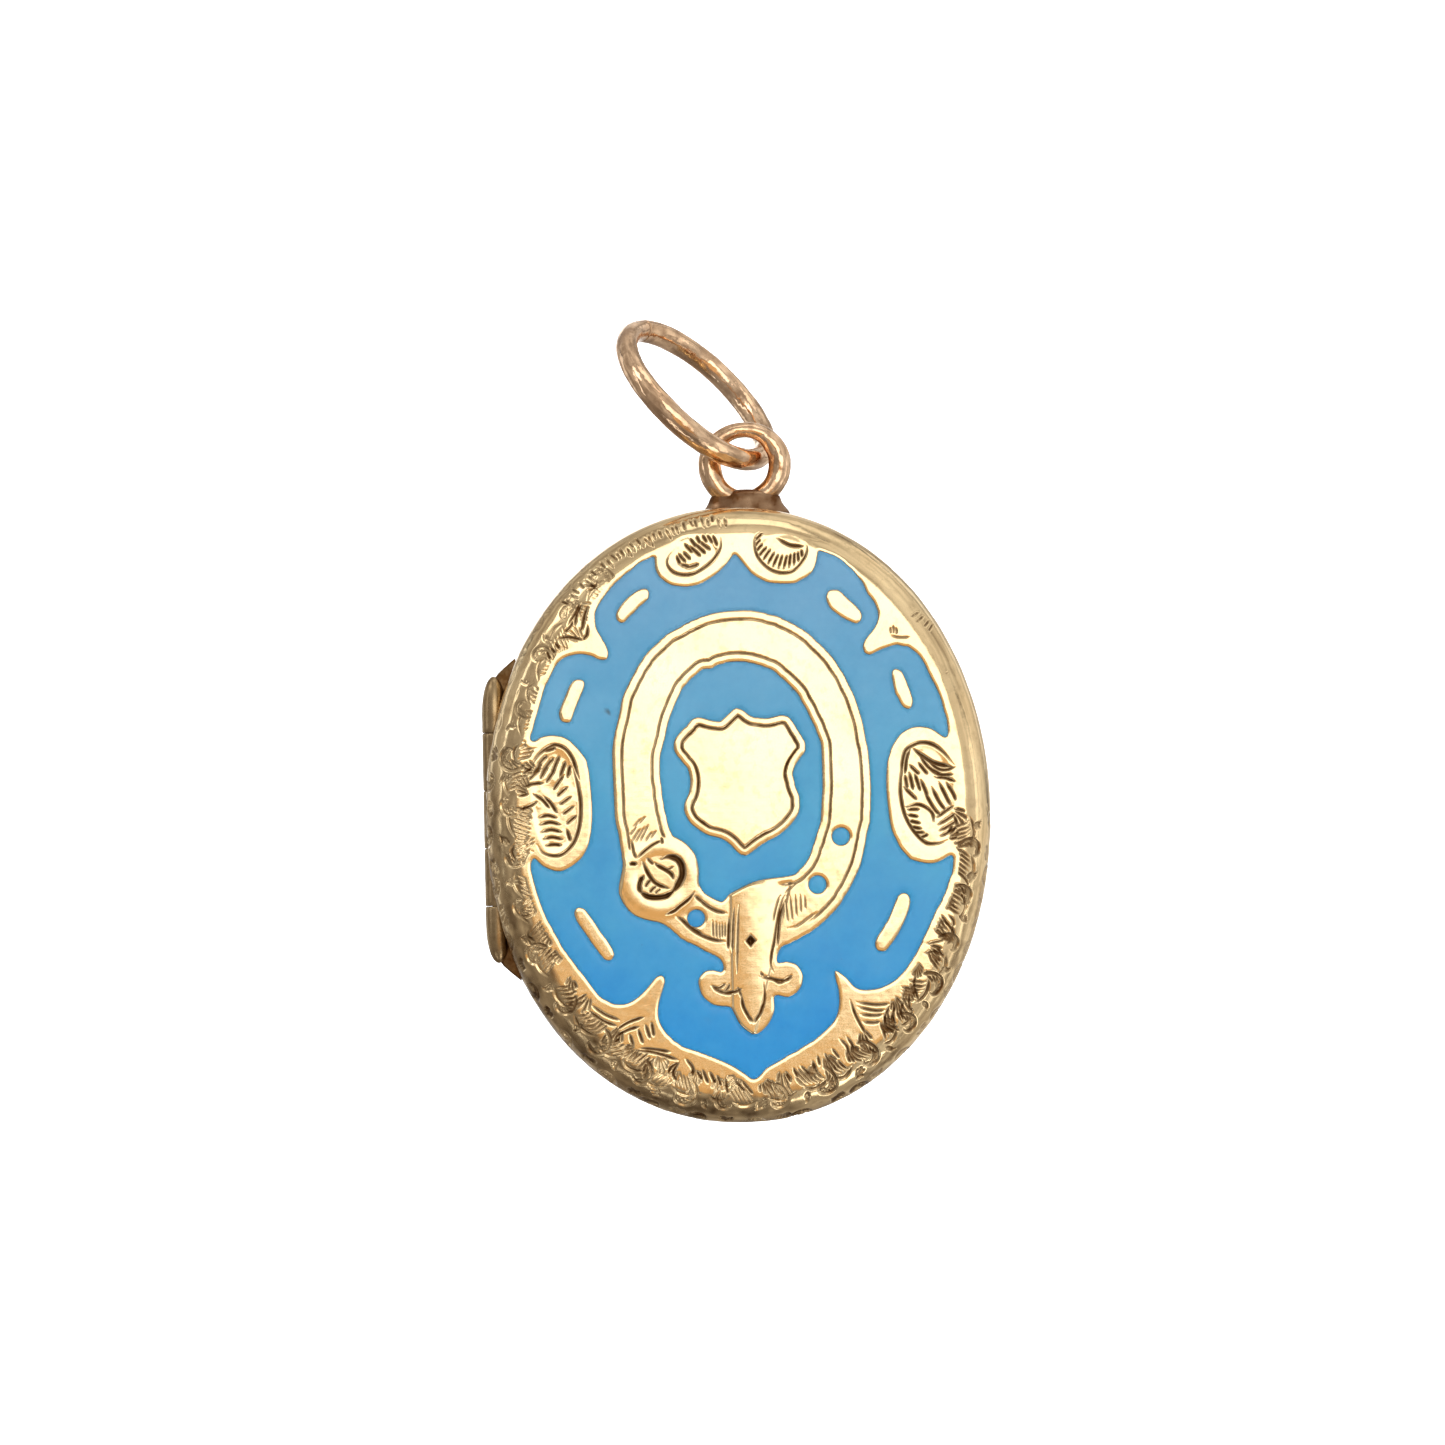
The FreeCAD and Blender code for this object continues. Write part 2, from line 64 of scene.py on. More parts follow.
# ---------------------------------------------------------------- outlines (mm, flat frame)
FIELD = [
    (0.3, -11.535), (0.17, -11.494), (-0.031, -11.317), (-0.775, -10.815), (-2.243, -10.217), (-2.763, -10.064), (-2.934, -9.905), (-3.149, -9.787),
    (-3.233, -9.664), (-3.447, -9.481), (-3.742, -9.005), (-3.808, -8.541), (-3.725, -8.022), (-3.467, -7.29), (-3.471, -7.116), (-3.53, -6.984),
    (-3.613, -6.951), (-3.7, -6.947), (-3.875, -7.013), (-4.188, -7.396), (-4.544, -7.772), (-4.897, -8.029), (-5.248, -8.168), (-5.737, -8.152),
    (-5.983, -7.992), (-6.242, -7.869), (-6.412, -7.695), (-7.088, -6.74), (-7.216, -6.618), (-7.469, -6.222), (-7.639, -6.02), (-7.7, -5.897),
    (-7.807, -5.774), (-7.934, -5.575), (-8.1, -5.21), (-8.247, -4.974), (-8.359, -4.711), (-8.479, -4.535), (-8.635, -4.185), (-8.906, -3.441),
    (-9.171, -2.394), (-9.199, -2.176), (-9.187, -1.96), (-9.086, -1.788), (-9.031, -1.786), (-8.733, -2.087), (-8.647, -2.146), (-8.26, -2.328),
    (-7.957, -2.37), (-7.782, -2.326), (-7.387, -2.125), (-7.033, -1.854), (-6.854, -1.616), (-6.7, -1.315), (-6.606, -1.012), (-6.492, -0.362),
    (-6.467, 0.507), (-6.579, 1.987), (-6.641, 2.206), (-6.674, 2.424), (-6.727, 2.549), (-7.067, 3.001), (-7.295, 3.219), (-7.365, 3.316),
    (-7.666, 3.498), (-7.882, 3.552), (-8.229, 3.603), (-8.622, 3.536), (-8.753, 3.479), (-8.812, 3.421), (-8.973, 3.333), (-9.06, 3.369),
    (-9.102, 3.413), (-9.102, 3.557), (-8.974, 3.859), (-8.921, 4.119), (-8.797, 4.465), (-8.44, 5.677), (-8.329, 5.849), (-7.978, 6.539),
    (-7.85, 6.711), (-7.702, 6.839), (-7.554, 6.923), (-7.291, 7.016), (-6.941, 7.067), (-6.724, 7.054), (-6.334, 6.964), (-6.205, 6.866),
    (-6.032, 6.799), (-5.815, 6.791), (-5.692, 6.847), (-5.635, 7.064), (-5.659, 7.238), (-5.777, 7.545), (-5.875, 7.678), (-5.952, 7.854),
    (-6.094, 8.072), (-6.18, 8.337), (-6.193, 8.773), (-6.167, 8.947), (-5.937, 9.368), (-5.333, 10.11), (-5.001, 10.368), (-4.823, 10.55),
    (-4.561, 10.708), (-4.397, 10.88), (-4.179, 11.051), (-3.895, 11.151), (-3.718, 11.243), (-3.631, 11.258), (-3.587, 11.237), (-3.564, 11.171),
    (-3.558, 10.778), (-3.457, 10.515), (-3.344, 10.343), (-3.258, 10.294), (-3.129, 10.158), (-2.892, 10.025), (-2.74, 9.98), (-2.174, 9.901),
    (-1.692, 10.005), (-1.427, 10.106), (-0.94, 10.4), (-0.692, 10.6), (-0.383, 10.9), (-0.136, 11.248), (-0.091, 11.285), (-0.047, 11.29),
    (-0.004, 11.27), (0.124, 11.128), (0.549, 10.555), (0.807, 10.332), (1.196, 10.122), (1.37, 10.043), (1.501, 10.024), (1.981, 9.982),
    (2.463, 9.989), (2.639, 10.028), (2.833, 10.148), (3.082, 10.257), (3.305, 10.453), (3.365, 10.532), (3.516, 10.836), (3.615, 11.359),
    (3.632, 11.394), (3.676, 11.412), (4.242, 11.214), (4.409, 11.127), (4.718, 10.907), (4.803, 10.781), (5.018, 10.618), (5.219, 10.37),
    (5.299, 10.238), (5.433, 10.104), (5.534, 9.928), (5.696, 9.498), (5.903, 9.265), (6.018, 9.088), (6.162, 8.692), (6.169, 8.43),
    (6.02, 8.039), (5.613, 7.565), (5.51, 7.392), (5.449, 7.174), (5.491, 6.999), (5.535, 6.91), (5.681, 6.826), (5.812, 6.819),
    (6.256, 7.046), (6.894, 7.236), (7.006, 7.229), (7.224, 7.163), (7.399, 7.153), (7.486, 7.119), (7.831, 6.858), (8.036, 6.604),
    (8.233, 6.207), (8.288, 6.031), (8.59, 5.459), (8.773, 5.016), (8.867, 4.752), (8.963, 4.27), (9.061, 4.005), (9.12, 3.392),
    (9.067, 3.218), (9.023, 3.187), (8.892, 3.231), (8.417, 3.605), (7.936, 3.679), (7.717, 3.668), (7.496, 3.623), (7.256, 3.514),
    (6.963, 3.312), (6.59, 2.741), (6.541, 2.523), (6.441, 2.263), (6.394, 2.002), (6.362, 1.566), (6.349, 0.781), (6.482, -0.591),
    (6.602, -1.013), (6.747, -1.278), (6.862, -1.586), (7.282, -2.07), (7.387, -2.163), (7.934, -2.323), (8.416, -2.35), (8.794, -2.192),
    (9.059, -2.022), (9.169, -2.016), (9.217, -2.069), (9.219, -2.2), (9.162, -2.766), (9.042, -2.982), (8.835, -3.632), (8.702, -3.848),
    (8.651, -4.021), (8.385, -4.408), (8.327, -4.581), (8.103, -5.012), (8.058, -5.142), (7.803, -5.616), (7.754, -5.79), (7.613, -6.005),
    (7.459, -6.306), (7.179, -6.697), (7.087, -6.865), (6.819, -7.146), (6.514, -7.418), (5.989, -7.668), (5.756, -7.727), (5.317, -7.771),
    (5.012, -7.736), (4.829, -7.643), (4.717, -7.554), (4.471, -7.244), (4.325, -7.116), (4.024, -6.891), (3.936, -6.919), (3.913, -7.014),
    (3.925, -7.145), (3.972, -7.407), (4.067, -7.67), (4.106, -8.28), (4.026, -8.757), (3.844, -9.124), (3.621, -9.353), (3.237, -9.696),
    (3.11, -9.78), (3.036, -9.866), (2.379, -10.225), (2.201, -10.36), (1.805, -10.526), (1.628, -10.662), (0.922, -11.023), (0.762, -11.161),
    (0.549, -11.417), (0.388, -11.52),
]
STRAP_OUTER = [
    (0.471, 8.904), (-0.492, 8.874), (-1.106, 8.773), (-1.413, 8.697), (-2.029, 8.464), (-2.132, 8.398), (-2.266, 8.357), (-2.471, 8.217),
    (-3.074, 7.934), (-3.239, 7.763), (-3.399, 7.642), (-3.473, 7.549), (-3.742, 7.335), (-4.123, 6.95), (-4.237, 6.734), (-4.375, 6.562),
    (-4.503, 6.346), (-4.531, 6.26), (-4.767, 5.872), (-4.832, 5.699), (-4.919, 5.57), (-5.084, 5.224), (-5.149, 5.008), (-5.261, 4.356),
    (-5.469, 3.62), (-5.572, 3.056), (-5.601, 2.534), (-5.548, 0.706), (-5.549, 0.054), (-5.482, -0.431), (-5.4, -0.7), (-5.321, -1.429),
    (-5.282, -1.604), (-5.278, -1.778), (-5.207, -2.17), (-5.418, -2.992), (-5.437, -3.295), (-5.405, -3.47), (-5.239, -3.821), (-5.034, -4.095),
    (-4.821, -4.294), (-4.649, -4.4), (-4.217, -4.566), (-3.617, -4.68), (-3.216, -4.949), (-3.095, -5.088), (-2.976, -5.172), (-2.812, -5.349),
    (-2.71, -5.42), (-2.452, -5.568), (-2.1, -5.712), (-1.762, -5.942), (-1.244, -6.183), (-1.045, -6.342), (-0.941, -6.562), (-0.936, -6.736),
    (-0.947, -6.779), (-0.996, -6.826), (-1.04, -6.845), (-1.256, -6.777), (-1.387, -6.761), (-1.649, -6.769), (-1.781, -6.843), (-1.959, -7.029),
    (-2.035, -7.19), (-2.051, -7.32), (-1.975, -7.669), (-1.908, -7.845), (-1.784, -8.021), (-1.505, -8.239), (-1.408, -8.29), (-1.203, -8.362),
    (-0.68, -8.393), (-0.581, -8.525), (-0.347, -9.052), (-0.218, -9.224), (-0.086, -9.362), (0.194, -9.585), (0.297, -9.626), (0.472, -9.618),
    (0.604, -9.564), (0.87, -9.346), (1.083, -9.083), (1.27, -8.653), (1.294, -8.393), (1.266, -8.088), (1.292, -7.982), (1.336, -7.953),
    (1.467, -7.953), (1.771, -8.05), (1.946, -8.029), (2.167, -7.912), (2.304, -7.806), (2.488, -7.549), (2.555, -7.202), (2.551, -7.072),
    (2.472, -6.853), (2.32, -6.632), (2.196, -6.547), (1.892, -6.458), (1.805, -6.45), (1.542, -6.496), (1.455, -6.482), (1.431, -6.395),
    (1.462, -6.179), (1.599, -5.887), (1.776, -5.778), (1.995, -5.717), (2.216, -5.588), (2.348, -5.55), (2.618, -5.376), (2.911, -5.252),
    (3.113, -5.082), (3.269, -4.998), (3.412, -4.858), (3.622, -4.701), (3.77, -4.53), (3.883, -4.445), (4.082, -4.237), (4.306, -3.968),
    (4.443, -3.702), (4.631, -3.459), (5.007, -2.726), (5.19, -2.337), (5.433, -1.339), (5.472, -1.035), (5.594, -0.601), (5.652, -0.471),
    (5.643, -0.166), (5.686, 0.139), (5.68, 0.357), (5.726, 1.098), (5.634, 2.715), (5.553, 2.993), (5.465, 3.635), (5.372, 4.073),
    (5.093, 4.996), (5.02, 5.172), (4.779, 5.654), (4.636, 6.009), (4.442, 6.279), (4.189, 6.731), (3.636, 7.337), (3.464, 7.471),
    (3.161, 7.816), (2.427, 8.292), (1.961, 8.502), (1.821, 8.61), (1.341, 8.707), (1.212, 8.781),
]
STRAP_INNER = [
    (-0.976, -3.796), (-1.278, -3.65), (-1.65, -3.417), (-1.728, -3.328), (-1.857, -3.108), (-1.93, -2.933), (-1.891, -2.542), (-1.904, -2.324),
    (-1.966, -1.931), (-2.079, -1.624), (-2.448, -1.211), (-2.793, -0.998), (-3.009, -0.894), (-3.05, -0.766), (-3.134, -0.624), (-3.238, -0.209),
    (-3.249, -0.035), (-3.334, 0.211), (-3.358, 0.533), (-3.421, 0.795), (-3.431, 1.231), (-3.501, 1.58), (-3.494, 2.407), (-3.448, 2.711),
    (-3.382, 2.884), (-3.312, 3.188), (-3.251, 3.317), (-3.106, 4.055), (-2.716, 4.963), (-2.576, 5.222), (-2.509, 5.395), (-2.395, 5.555),
    (-2.276, 5.653), (-2.108, 5.868), (-1.825, 6.081), (-1.594, 6.294), (-1.463, 6.319), (-1.157, 6.326), (-0.911, 6.5), (-0.672, 6.538),
    (-0.496, 6.602), (0.073, 6.634), (0.502, 6.563), (0.987, 6.431), (1.29, 6.295), (1.421, 6.262), (1.636, 6.117), (1.764, 5.959),
    (1.979, 5.794), (2.579, 5.175), (2.697, 4.865), (2.939, 4.467), (3.056, 4.16), (3.282, 3.719), (3.324, 3.544), (3.507, 3.104),
    (3.554, 2.798), (3.566, 1.009), (3.502, 0.487), (3.447, -0.341), (3.408, -0.514), (3.221, -1.033), (3.152, -1.294), (3.046, -1.509),
    (2.966, -1.813), (2.771, -2.171), (2.591, -2.377), (2.472, -2.456), (2.368, -2.611), (2.191, -2.697), (1.796, -2.766), (1.008, -2.842),
    (0.394, -2.965), (-0.532, -3.422), (-0.665, -3.531), (-0.755, -3.653), (-0.887, -3.78),
]
SHIELD = [
    (0.113, -1.843), (0.2, -1.827), (0.337, -1.76), (0.821, -1.397), (1.041, -1.29), (1.13, -1.219), (1.483, -1.065), (1.882, -0.793),
    (2.207, -0.49), (2.435, -0.19), (2.589, 0.156), (2.572, 0.636), (2.557, 0.767), (2.392, 1.162), (2.367, 1.381), (2.297, 1.644),
    (2.299, 1.731), (2.38, 2.025), (2.651, 2.41), (2.85, 2.636), (2.88, 2.767), (2.878, 3.028), (2.852, 3.116), (2.625, 3.513),
    (2.527, 3.646), (2.425, 3.866), (2.207, 4.168), (2.121, 4.23), (1.903, 4.278), (1.772, 4.282), (1.2, 4.137), (0.896, 4.189),
    (0.677, 4.201), (0.461, 4.292), (0.203, 4.524), (-0.013, 4.62), (-0.144, 4.633), (-0.276, 4.57), (-0.788, 4.1), (-0.855, 4.066),
    (-0.942, 4.059), (-1.29, 4.122), (-1.55, 4.218), (-1.768, 4.258), (-1.943, 4.233), (-2.072, 4.167), (-2.234, 3.996), (-2.318, 3.866),
    (-2.446, 3.782), (-2.797, 3.396), (-2.893, 3.18), (-2.91, 2.919), (-2.882, 2.788), (-2.765, 2.568), (-2.6, 2.391), (-2.508, 2.236),
    (-2.379, 2.117), (-2.295, 1.972), (-2.197, 1.512), (-2.271, 0.947), (-2.435, 0.646), (-2.495, 0.473), (-2.525, 0.299), (-2.495, 0.081),
    (-2.371, -0.183), (-2.214, -0.418), (-1.656, -0.836), (-1.396, -0.946), (-1.005, -1.039), (-0.746, -1.158), (-0.508, -1.351), (-0.288, -1.617),
    (-0.141, -1.75), (-0.061, -1.806),
]
DASHES = [
    [(-3.878, 9.853), (-3.92, 9.89), (-4.007, 9.914), (-4.271, 9.874), (-4.714, 9.576), (-4.979, 9.324), (-5.294, 8.888), (-5.309, 8.627), (-5.242, 8.495), (-5.085, 8.397), (-4.998, 8.402), (-4.91, 8.441), (-4.669, 8.703), (-4.465, 8.868), (-4.331, 9.033), (-3.888, 9.388), (-3.843, 9.474), (-3.812, 9.648), (-3.828, 9.779)],
    [(5.406, 8.293), (5.485, 8.485), (5.475, 8.616), (5.417, 8.781), (5.131, 9.103), (4.725, 9.46), (4.678, 9.548), (4.472, 9.698), (4.385, 9.729), (4.122, 9.723), (3.989, 9.655), (3.891, 9.43), (3.892, 9.233), (4.023, 8.947), (4.103, 8.842), (4.533, 8.489), (5.097, 8.204), (5.228, 8.192)],
    [(-7.697, 4.127), (-7.567, 4.095), (-7.436, 4.099), (-7.392, 4.111), (-7.325, 4.177), (-7.234, 4.393), (-7.164, 4.632), (-6.749, 5.559), (-6.707, 5.732), (-6.71, 5.863), (-6.789, 5.97), (-6.963, 6.003), (-7.094, 5.993), (-7.181, 5.959), (-7.277, 5.873), (-7.423, 5.658), (-7.539, 5.356), (-7.799, 4.795), (-7.873, 4.578), (-7.873, 4.448), (-7.829, 4.273), (-7.778, 4.185)],
    [(6.852, 6.214), (6.763, 6.158), (6.726, 6.102), (6.683, 5.928), (6.811, 5.139), (6.93, 4.962), (7.038, 4.707), (7.165, 4.511), (7.338, 4.422), (7.47, 4.428), (7.536, 4.471), (7.593, 4.557), (7.642, 4.775), (7.616, 4.95), (7.472, 5.39), (7.242, 6.002), (7.113, 6.149), (6.939, 6.218)],
    [(-7.293, -3.963), (-7.374, -4.081), (-7.398, -4.21), (-7.319, -4.473), (-7.178, -4.721), (-6.849, -5.177), (-6.756, -5.353), (-6.164, -6.189), (-5.992, -6.286), (-5.862, -6.28), (-5.774, -6.239), (-5.677, -6.113), (-5.647, -6.027), (-5.652, -5.94), (-5.714, -5.765), (-5.94, -5.37), (-6.227, -5.006), (-6.417, -4.665), (-6.86, -4.036), (-6.946, -3.973), (-7.075, -3.928), (-7.205, -3.92)],
    [(7.16, -3.61), (7.073, -3.582), (6.942, -3.584), (6.809, -3.659), (6.724, -3.763), (6.494, -4.325), (6.257, -4.833), (6.167, -4.941), (5.985, -5.249), (5.89, -5.358), (5.765, -5.573), (5.709, -5.746), (5.728, -5.921), (5.793, -6.045), (5.879, -6.105), (6.097, -6.148), (6.255, -6.063), (6.691, -5.506), (7.042, -4.859), (7.269, -4.298), (7.322, -4.037), (7.326, -3.906), (7.294, -3.775), (7.246, -3.681)],
]
HOLES = [(-2.07, -4.51, 0.36), (3.26, -3.15, 0.37), (4.33, -1.07, 0.37)]

# graver strokes on the face: (width, depth, points)
STROKES = [
    
    (0.12, 0.055, [(1.2, 12.36), (0.91, 12.17), (0.81, 11.8), (0.89, 11.33), (1.13, 10.95), (1.5, 10.63), (1.96, 10.47), (2.42, 10.53), (2.8, 10.84), (3.06, 11.26), (3.11, 11.59), (3.03, 11.8)]), 
    (0.12, 0.060, [(0.89, 11.44), (1.17, 11.75)]), (0.12, 0.060, [(0.99, 11.22), (1.35, 11.62)]), (0.12, 0.060, [(1.17, 11.04), (1.52, 11.52)]), 
    (0.12, 0.060, [(1.38, 10.87), (1.68, 11.38)]), (0.12, 0.060, [(1.6, 10.74), (1.85, 11.29)]), (0.12, 0.060, [(1.84, 10.66), (2.03, 11.26)]), 
    (0.12, 0.060, [(2.07, 10.64), (2.23, 11.25)]), (0.12, 0.060, [(2.31, 10.7), (2.39, 11.3)]), (0.12, 0.060, [(2.53, 10.8), (2.56, 11.35)]), 
    (0.12, 0.060, [(2.73, 10.94), (2.71, 11.38)]), (0.12, 0.060, [(2.9, 11.16), (2.86, 11.46)]), (0.12, 0.060, [(0.85, 11.67), (1.07, 11.94)]), 
    (0.12, 0.060, [(0.84, 11.9), (1.18, 12.25)]), (0.16, 0.060, [(1.78, 12.05), (2.07, 11.84), (2.49, 11.65), (2.99, 11.63)]), 
    (0.08, 0.040, [(1.99, 11.88), (2.36, 11.73), (2.86, 11.68)]), 
    (0.13, 0.055, [(-2.69, 11.56), (-2.97, 11.23), (-3.02, 10.94), (-2.8, 10.62), (-2.38, 10.46), (-1.92, 10.5), (-1.46, 10.73), (-0.99, 11.11), (-0.68, 11.61), (-0.66, 12.07)]), 
    (0.14, 0.060, [(-2.61, 11.31), (-2.45, 10.93)]), (0.14, 0.060, [(-2.53, 11.39), (-2.2, 11.01)]), (0.14, 0.060, [(-2.32, 11.47), (-1.99, 11.13)]), 
    (0.14, 0.060, [(-2.02, 11.72), (-1.53, 11.25)]), (0.14, 0.060, [(-1.81, 11.84), (-1.32, 11.37)]), (0.14, 0.060, [(-1.6, 11.92), (-1.1, 11.53)]), 
    (0.14, 0.060, [(-1.72, 12.17), (-1.56, 11.83)]), (0.14, 0.060, [(-1.47, 12.21), (-1.26, 11.87)]), (0.14, 0.060, [(-1.26, 12.21), (-1.01, 11.83)]), 
    (0.14, 0.060, [(-1.01, 12.2), (-0.81, 11.7)]), (0.14, 0.060, [(-2.45, 10.93), (-2.04, 10.8)]), (0.14, 0.060, [(-2.21, 10.76), (-1.62, 10.92)]), 
    (0.14, 0.060, [(-2.27, 11.85), (-1.9, 11.42)]), (0.14, 0.060, [(-2.01, 12.09), (-1.73, 11.67)]), 
    (0.14, 0.060, [(-6.74, 9.33), (-6.99, 8.84), (-7.1, 8.3)]), (0.14, 0.060, [(-6.51, 9.2), (-6.72, 8.58), (-6.77, 8.12)]), 
    (0.14, 0.060, [(-6.53, 8.33), (-6.59, 7.9), (-6.78, 7.71)]), (0.14, 0.060, [(-7.94, 7.75), (-7.44, 7.83), (-6.73, 7.7)]), 
    (0.14, 0.060, [(-7.43, 8.34), (-7.09, 8.84), (-6.87, 9.33)]), (0.14, 0.060, [(-7.15, 10.01), (-6.73, 10.1), (-6.02, 10.05)]), 
    (0.14, 0.060, [(-8.37, 7.28), (-8.19, 6.86)]), (0.14, 0.060, [(-8.2, 7.42), (-7.97, 7.14)]), (0.14, 0.060, [(-7.99, 7.6), (-7.78, 7.35)]), 
    (0.14, 0.060, [(-7.6, 8.01), (-7.31, 8.26), (-7.18, 8.51)]), (0.14, 0.060, [(-6.94, 8), (-6.77, 8.25), (-6.63, 8.83)]), 
    (0.11, 0.045, [(-4.94, 11.89), (-4.9, 11.54)]), (0.11, 0.045, [(-4.69, 11.89), (-4.69, 11.28)]), (0.11, 0.045, [(-4.4, 11.88), (-4.41, 11.46)]), 
    (0.11, 0.045, [(-4.19, 11.92), (-4.23, 11.61)]), (0.11, 0.045, [(-3.98, 11.89), (-4.03, 11.69)]), 
    (0.11, 0.045, [(-6.59, 10.56), (-6.09, 10.61), (-5.71, 10.82)]), (0.11, 0.045, [(-6.3, 10.74), (-5.88, 10.99), (-5.46, 11.06)]), 
    (0.11, 0.045, [(-7.38, 10.76), (-6.89, 10.5), (-6.64, 10.16)]), (0.11, 0.045, [(-6.06, 10.32), (-6.23, 9.99), (-6.57, 9.83)]), 
    (0.15, 0.055, [(-9.12, 2.21), (-8.88, 2.62), (-8.49, 2.97), (-8.08, 3.14), (-7.66, 3), (-7.34, 2.58), (-7.16, 2.01), (-7.05, 1.61)]), 
    (0.15, 0.055, [(-7.41, 2.48), (-7.15, 1.53), (-7.01, 0.58), (-7.1, -0.47), (-7.43, -1.26), (-8.02, -1.67), (-8.65, -1.55), (-8.93, -1.17)]), 
    (0.15, 0.060, [(-8.88, 2.21), (-8.42, 2.7)]), (0.15, 0.060, [(-8.72, 1.87), (-8.13, 2.61)]), (0.15, 0.060, [(-8.31, 1.7), (-7.88, 2.69)]), 
    (0.15, 0.060, [(-7.9, 1.69), (-7.63, 2.43)]), (0.15, 0.060, [(-7.56, 1.68), (-7.43, 2.26)]), (0.15, 0.060, [(-8.54, 2.87), (-8.04, 3.02)]), 
    (0.15, 0.060, [(-9.06, 1.84), (-8.72, 2.2)]), (0.14, 0.060, [(-8.63, 2.4), (-9.06, 1.88)]), (0.14, 0.060, [(-8.36, 2.29), (-8.75, 1.67)]), 
    (0.14, 0.060, [(-8.05, 2.13), (-8.49, 1.5)]), (0.14, 0.060, [(-7.69, 1.86), (-8.18, 1.18)]), (0.14, 0.060, [(-7.54, 1.33), (-8.02, 0.91)]), 
    (0.14, 0.060, [(-7.39, 0.9), (-7.92, 0.54)]), (0.14, 0.060, [(-7.29, 0.48), (-7.78, 0.12)]), (0.14, 0.060, [(-7.2, 0.06), (-7.63, -0.31)]), 
    (0.14, 0.060, [(-9.59, 1.31), (-9.07, 1.46), (-8.59, 1.5)]), (0.14, 0.060, [(-9.77, 0.32), (-9.19, 0.52), (-8.87, 0.72)]), 
    (0.14, 0.060, [(-8.88, -0.02), (-8.46, 0.08), (-8.04, -0.03)]), (0.14, 0.060, [(-8.84, -0.33), (-8.36, -0.22), (-7.89, -0.33)]), 
    (0.14, 0.060, [(-8.79, -0.65), (-8.32, -0.55), (-7.84, -0.65)]), (0.14, 0.060, [(-8.69, -0.95), (-8.27, -0.87), (-7.8, -0.97)]), 
    (0.14, 0.060, [(-8.59, -1.23), (-8.22, -1.19), (-7.85, -1.22)]), (0.14, 0.060, [(-7.63, -0.52), (-7.48, -1.05)]), 
    (0.14, 0.060, [(-9.07, 1.04), (-8.66, 0.77), (-8.35, 0.39)]), (0.14, 0.060, [(-8.6, 0.93), (-8.29, 0.6), (-8.04, 0.18)]), 
    (0.14, 0.060, [(-9.71, 0.95), (-9.28, 1.04)]), (0.14, 0.060, [(-9.53, 1.89), (-9.05, 2.2)]), (0.14, 0.060, [(-9.27, 1.62), (-8.74, 2.09)]), 
    (0.16, 0.055, [(9.36, 1.94), (8.87, 2.54), (8.38, 2.88), (7.79, 2.93), (7.28, 2.65), (7.1, 2.15), (7.02, 1.34)]), 
    (0.20, 0.070, [(7.53, 2.73), (7.95, 2.39), (8.53, 2.04), (9.28, 1.86)]), (0.14, 0.060, [(7.45, 2.73), (7.27, 2.23), (7.19, 1.57)]), 
    (0.14, 0.060, [(7.78, 2.56), (8.23, 1.88), (8.85, 1.54)]), 
    (0.15, 0.055, [(7.11, 2.21), (7.01, 1.58), (6.97, 0.73), (7.14, -0.17), (7.5, -0.87), (8.02, -1.41), (8.55, -1.47), (9.03, -1.32)]), 
    (0.14, 0.060, [(7.18, 1.57), (7.28, 0.94)]), (0.14, 0.060, [(7.38, 1.67), (7.54, 0.88)]), (0.14, 0.060, [(7.61, 1.62), (7.86, 0.82)]), 
    (0.14, 0.060, [(7.87, 1.35), (8.17, 0.6)]), (0.14, 0.060, [(7.12, 1.04), (7.69, 0.45)]), 
    (0.14, 0.060, [(8.15, 2.19), (8.78, 1.75), (9.42, 1.85)]), (0.14, 0.060, [(8.15, 1.87), (8.72, 1.54), (9.31, 1.53)]), 
    (0.14, 0.060, [(7.15, 0.14), (7.79, 0.24), (8.32, -0.09), (8.41, -0.57)]), (0.14, 0.060, [(7.25, -0.18), (7.73, -0.29)]), 
    (0.14, 0.060, [(7.3, -0.44), (7.83, -0.58)]), (0.14, 0.060, [(7.4, -0.71), (7.87, -0.82)]), (0.14, 0.060, [(7.55, -0.97), (7.98, -0.98)]), 
    (0.14, 0.060, [(7.81, -1.19), (8.13, -1.07)]), (0.14, 0.060, [(7.26, 0.04), (7.79, 0.03)]), 
    (0.14, 0.060, [(8.02, 0.81), (8.43, 0.07), (8.74, -0.26)]), (0.14, 0.060, [(8.34, 1.02), (8.65, 0.38), (8.95, -0.05)]), 
    (0.14, 0.060, [(8.66, 1.23), (8.97, 0.58), (9.17, 0.16)]), (0.14, 0.060, [(8.98, 1.22), (9.29, 0.68), (9.39, 0.37)]), 
    (0.14, 0.060, [(8.52, -0.36), (8.95, -0.05), (9.28, 0.16)]), (0.14, 0.060, [(8.57, -0.68), (9, -0.42), (9.38, -0.16)]), 
    (0.14, 0.060, [(8.62, -0.94), (9.05, -0.71), (9.42, -0.48)]), (0.14, 0.060, [(8.66, -1.19), (9.09, -0.95), (9.42, -0.8)]), 
    (0.14, 0.060, [(7.4, 1.99), (7.82, 1.56)]), (0.14, 0.060, [(7.78, 2.09), (8.19, 1.55)]), 
    (0.14, 0.060, [(8.46, 1.44), (8.99, 1.38), (9.41, 1.21)]), (0.13, 0.060, [(-5.7, -9.45), (-5.49, -9.19), (-5.06, -8.94), (-4.42, -8.74)]), 
    (0.13, 0.060, [(-5.76, -9.76), (-5.6, -9.55), (-5.17, -9.3), (-4.64, -9.16)]), (0.13, 0.060, [(-5.07, -9.46), (-4.92, -9.99)]), 
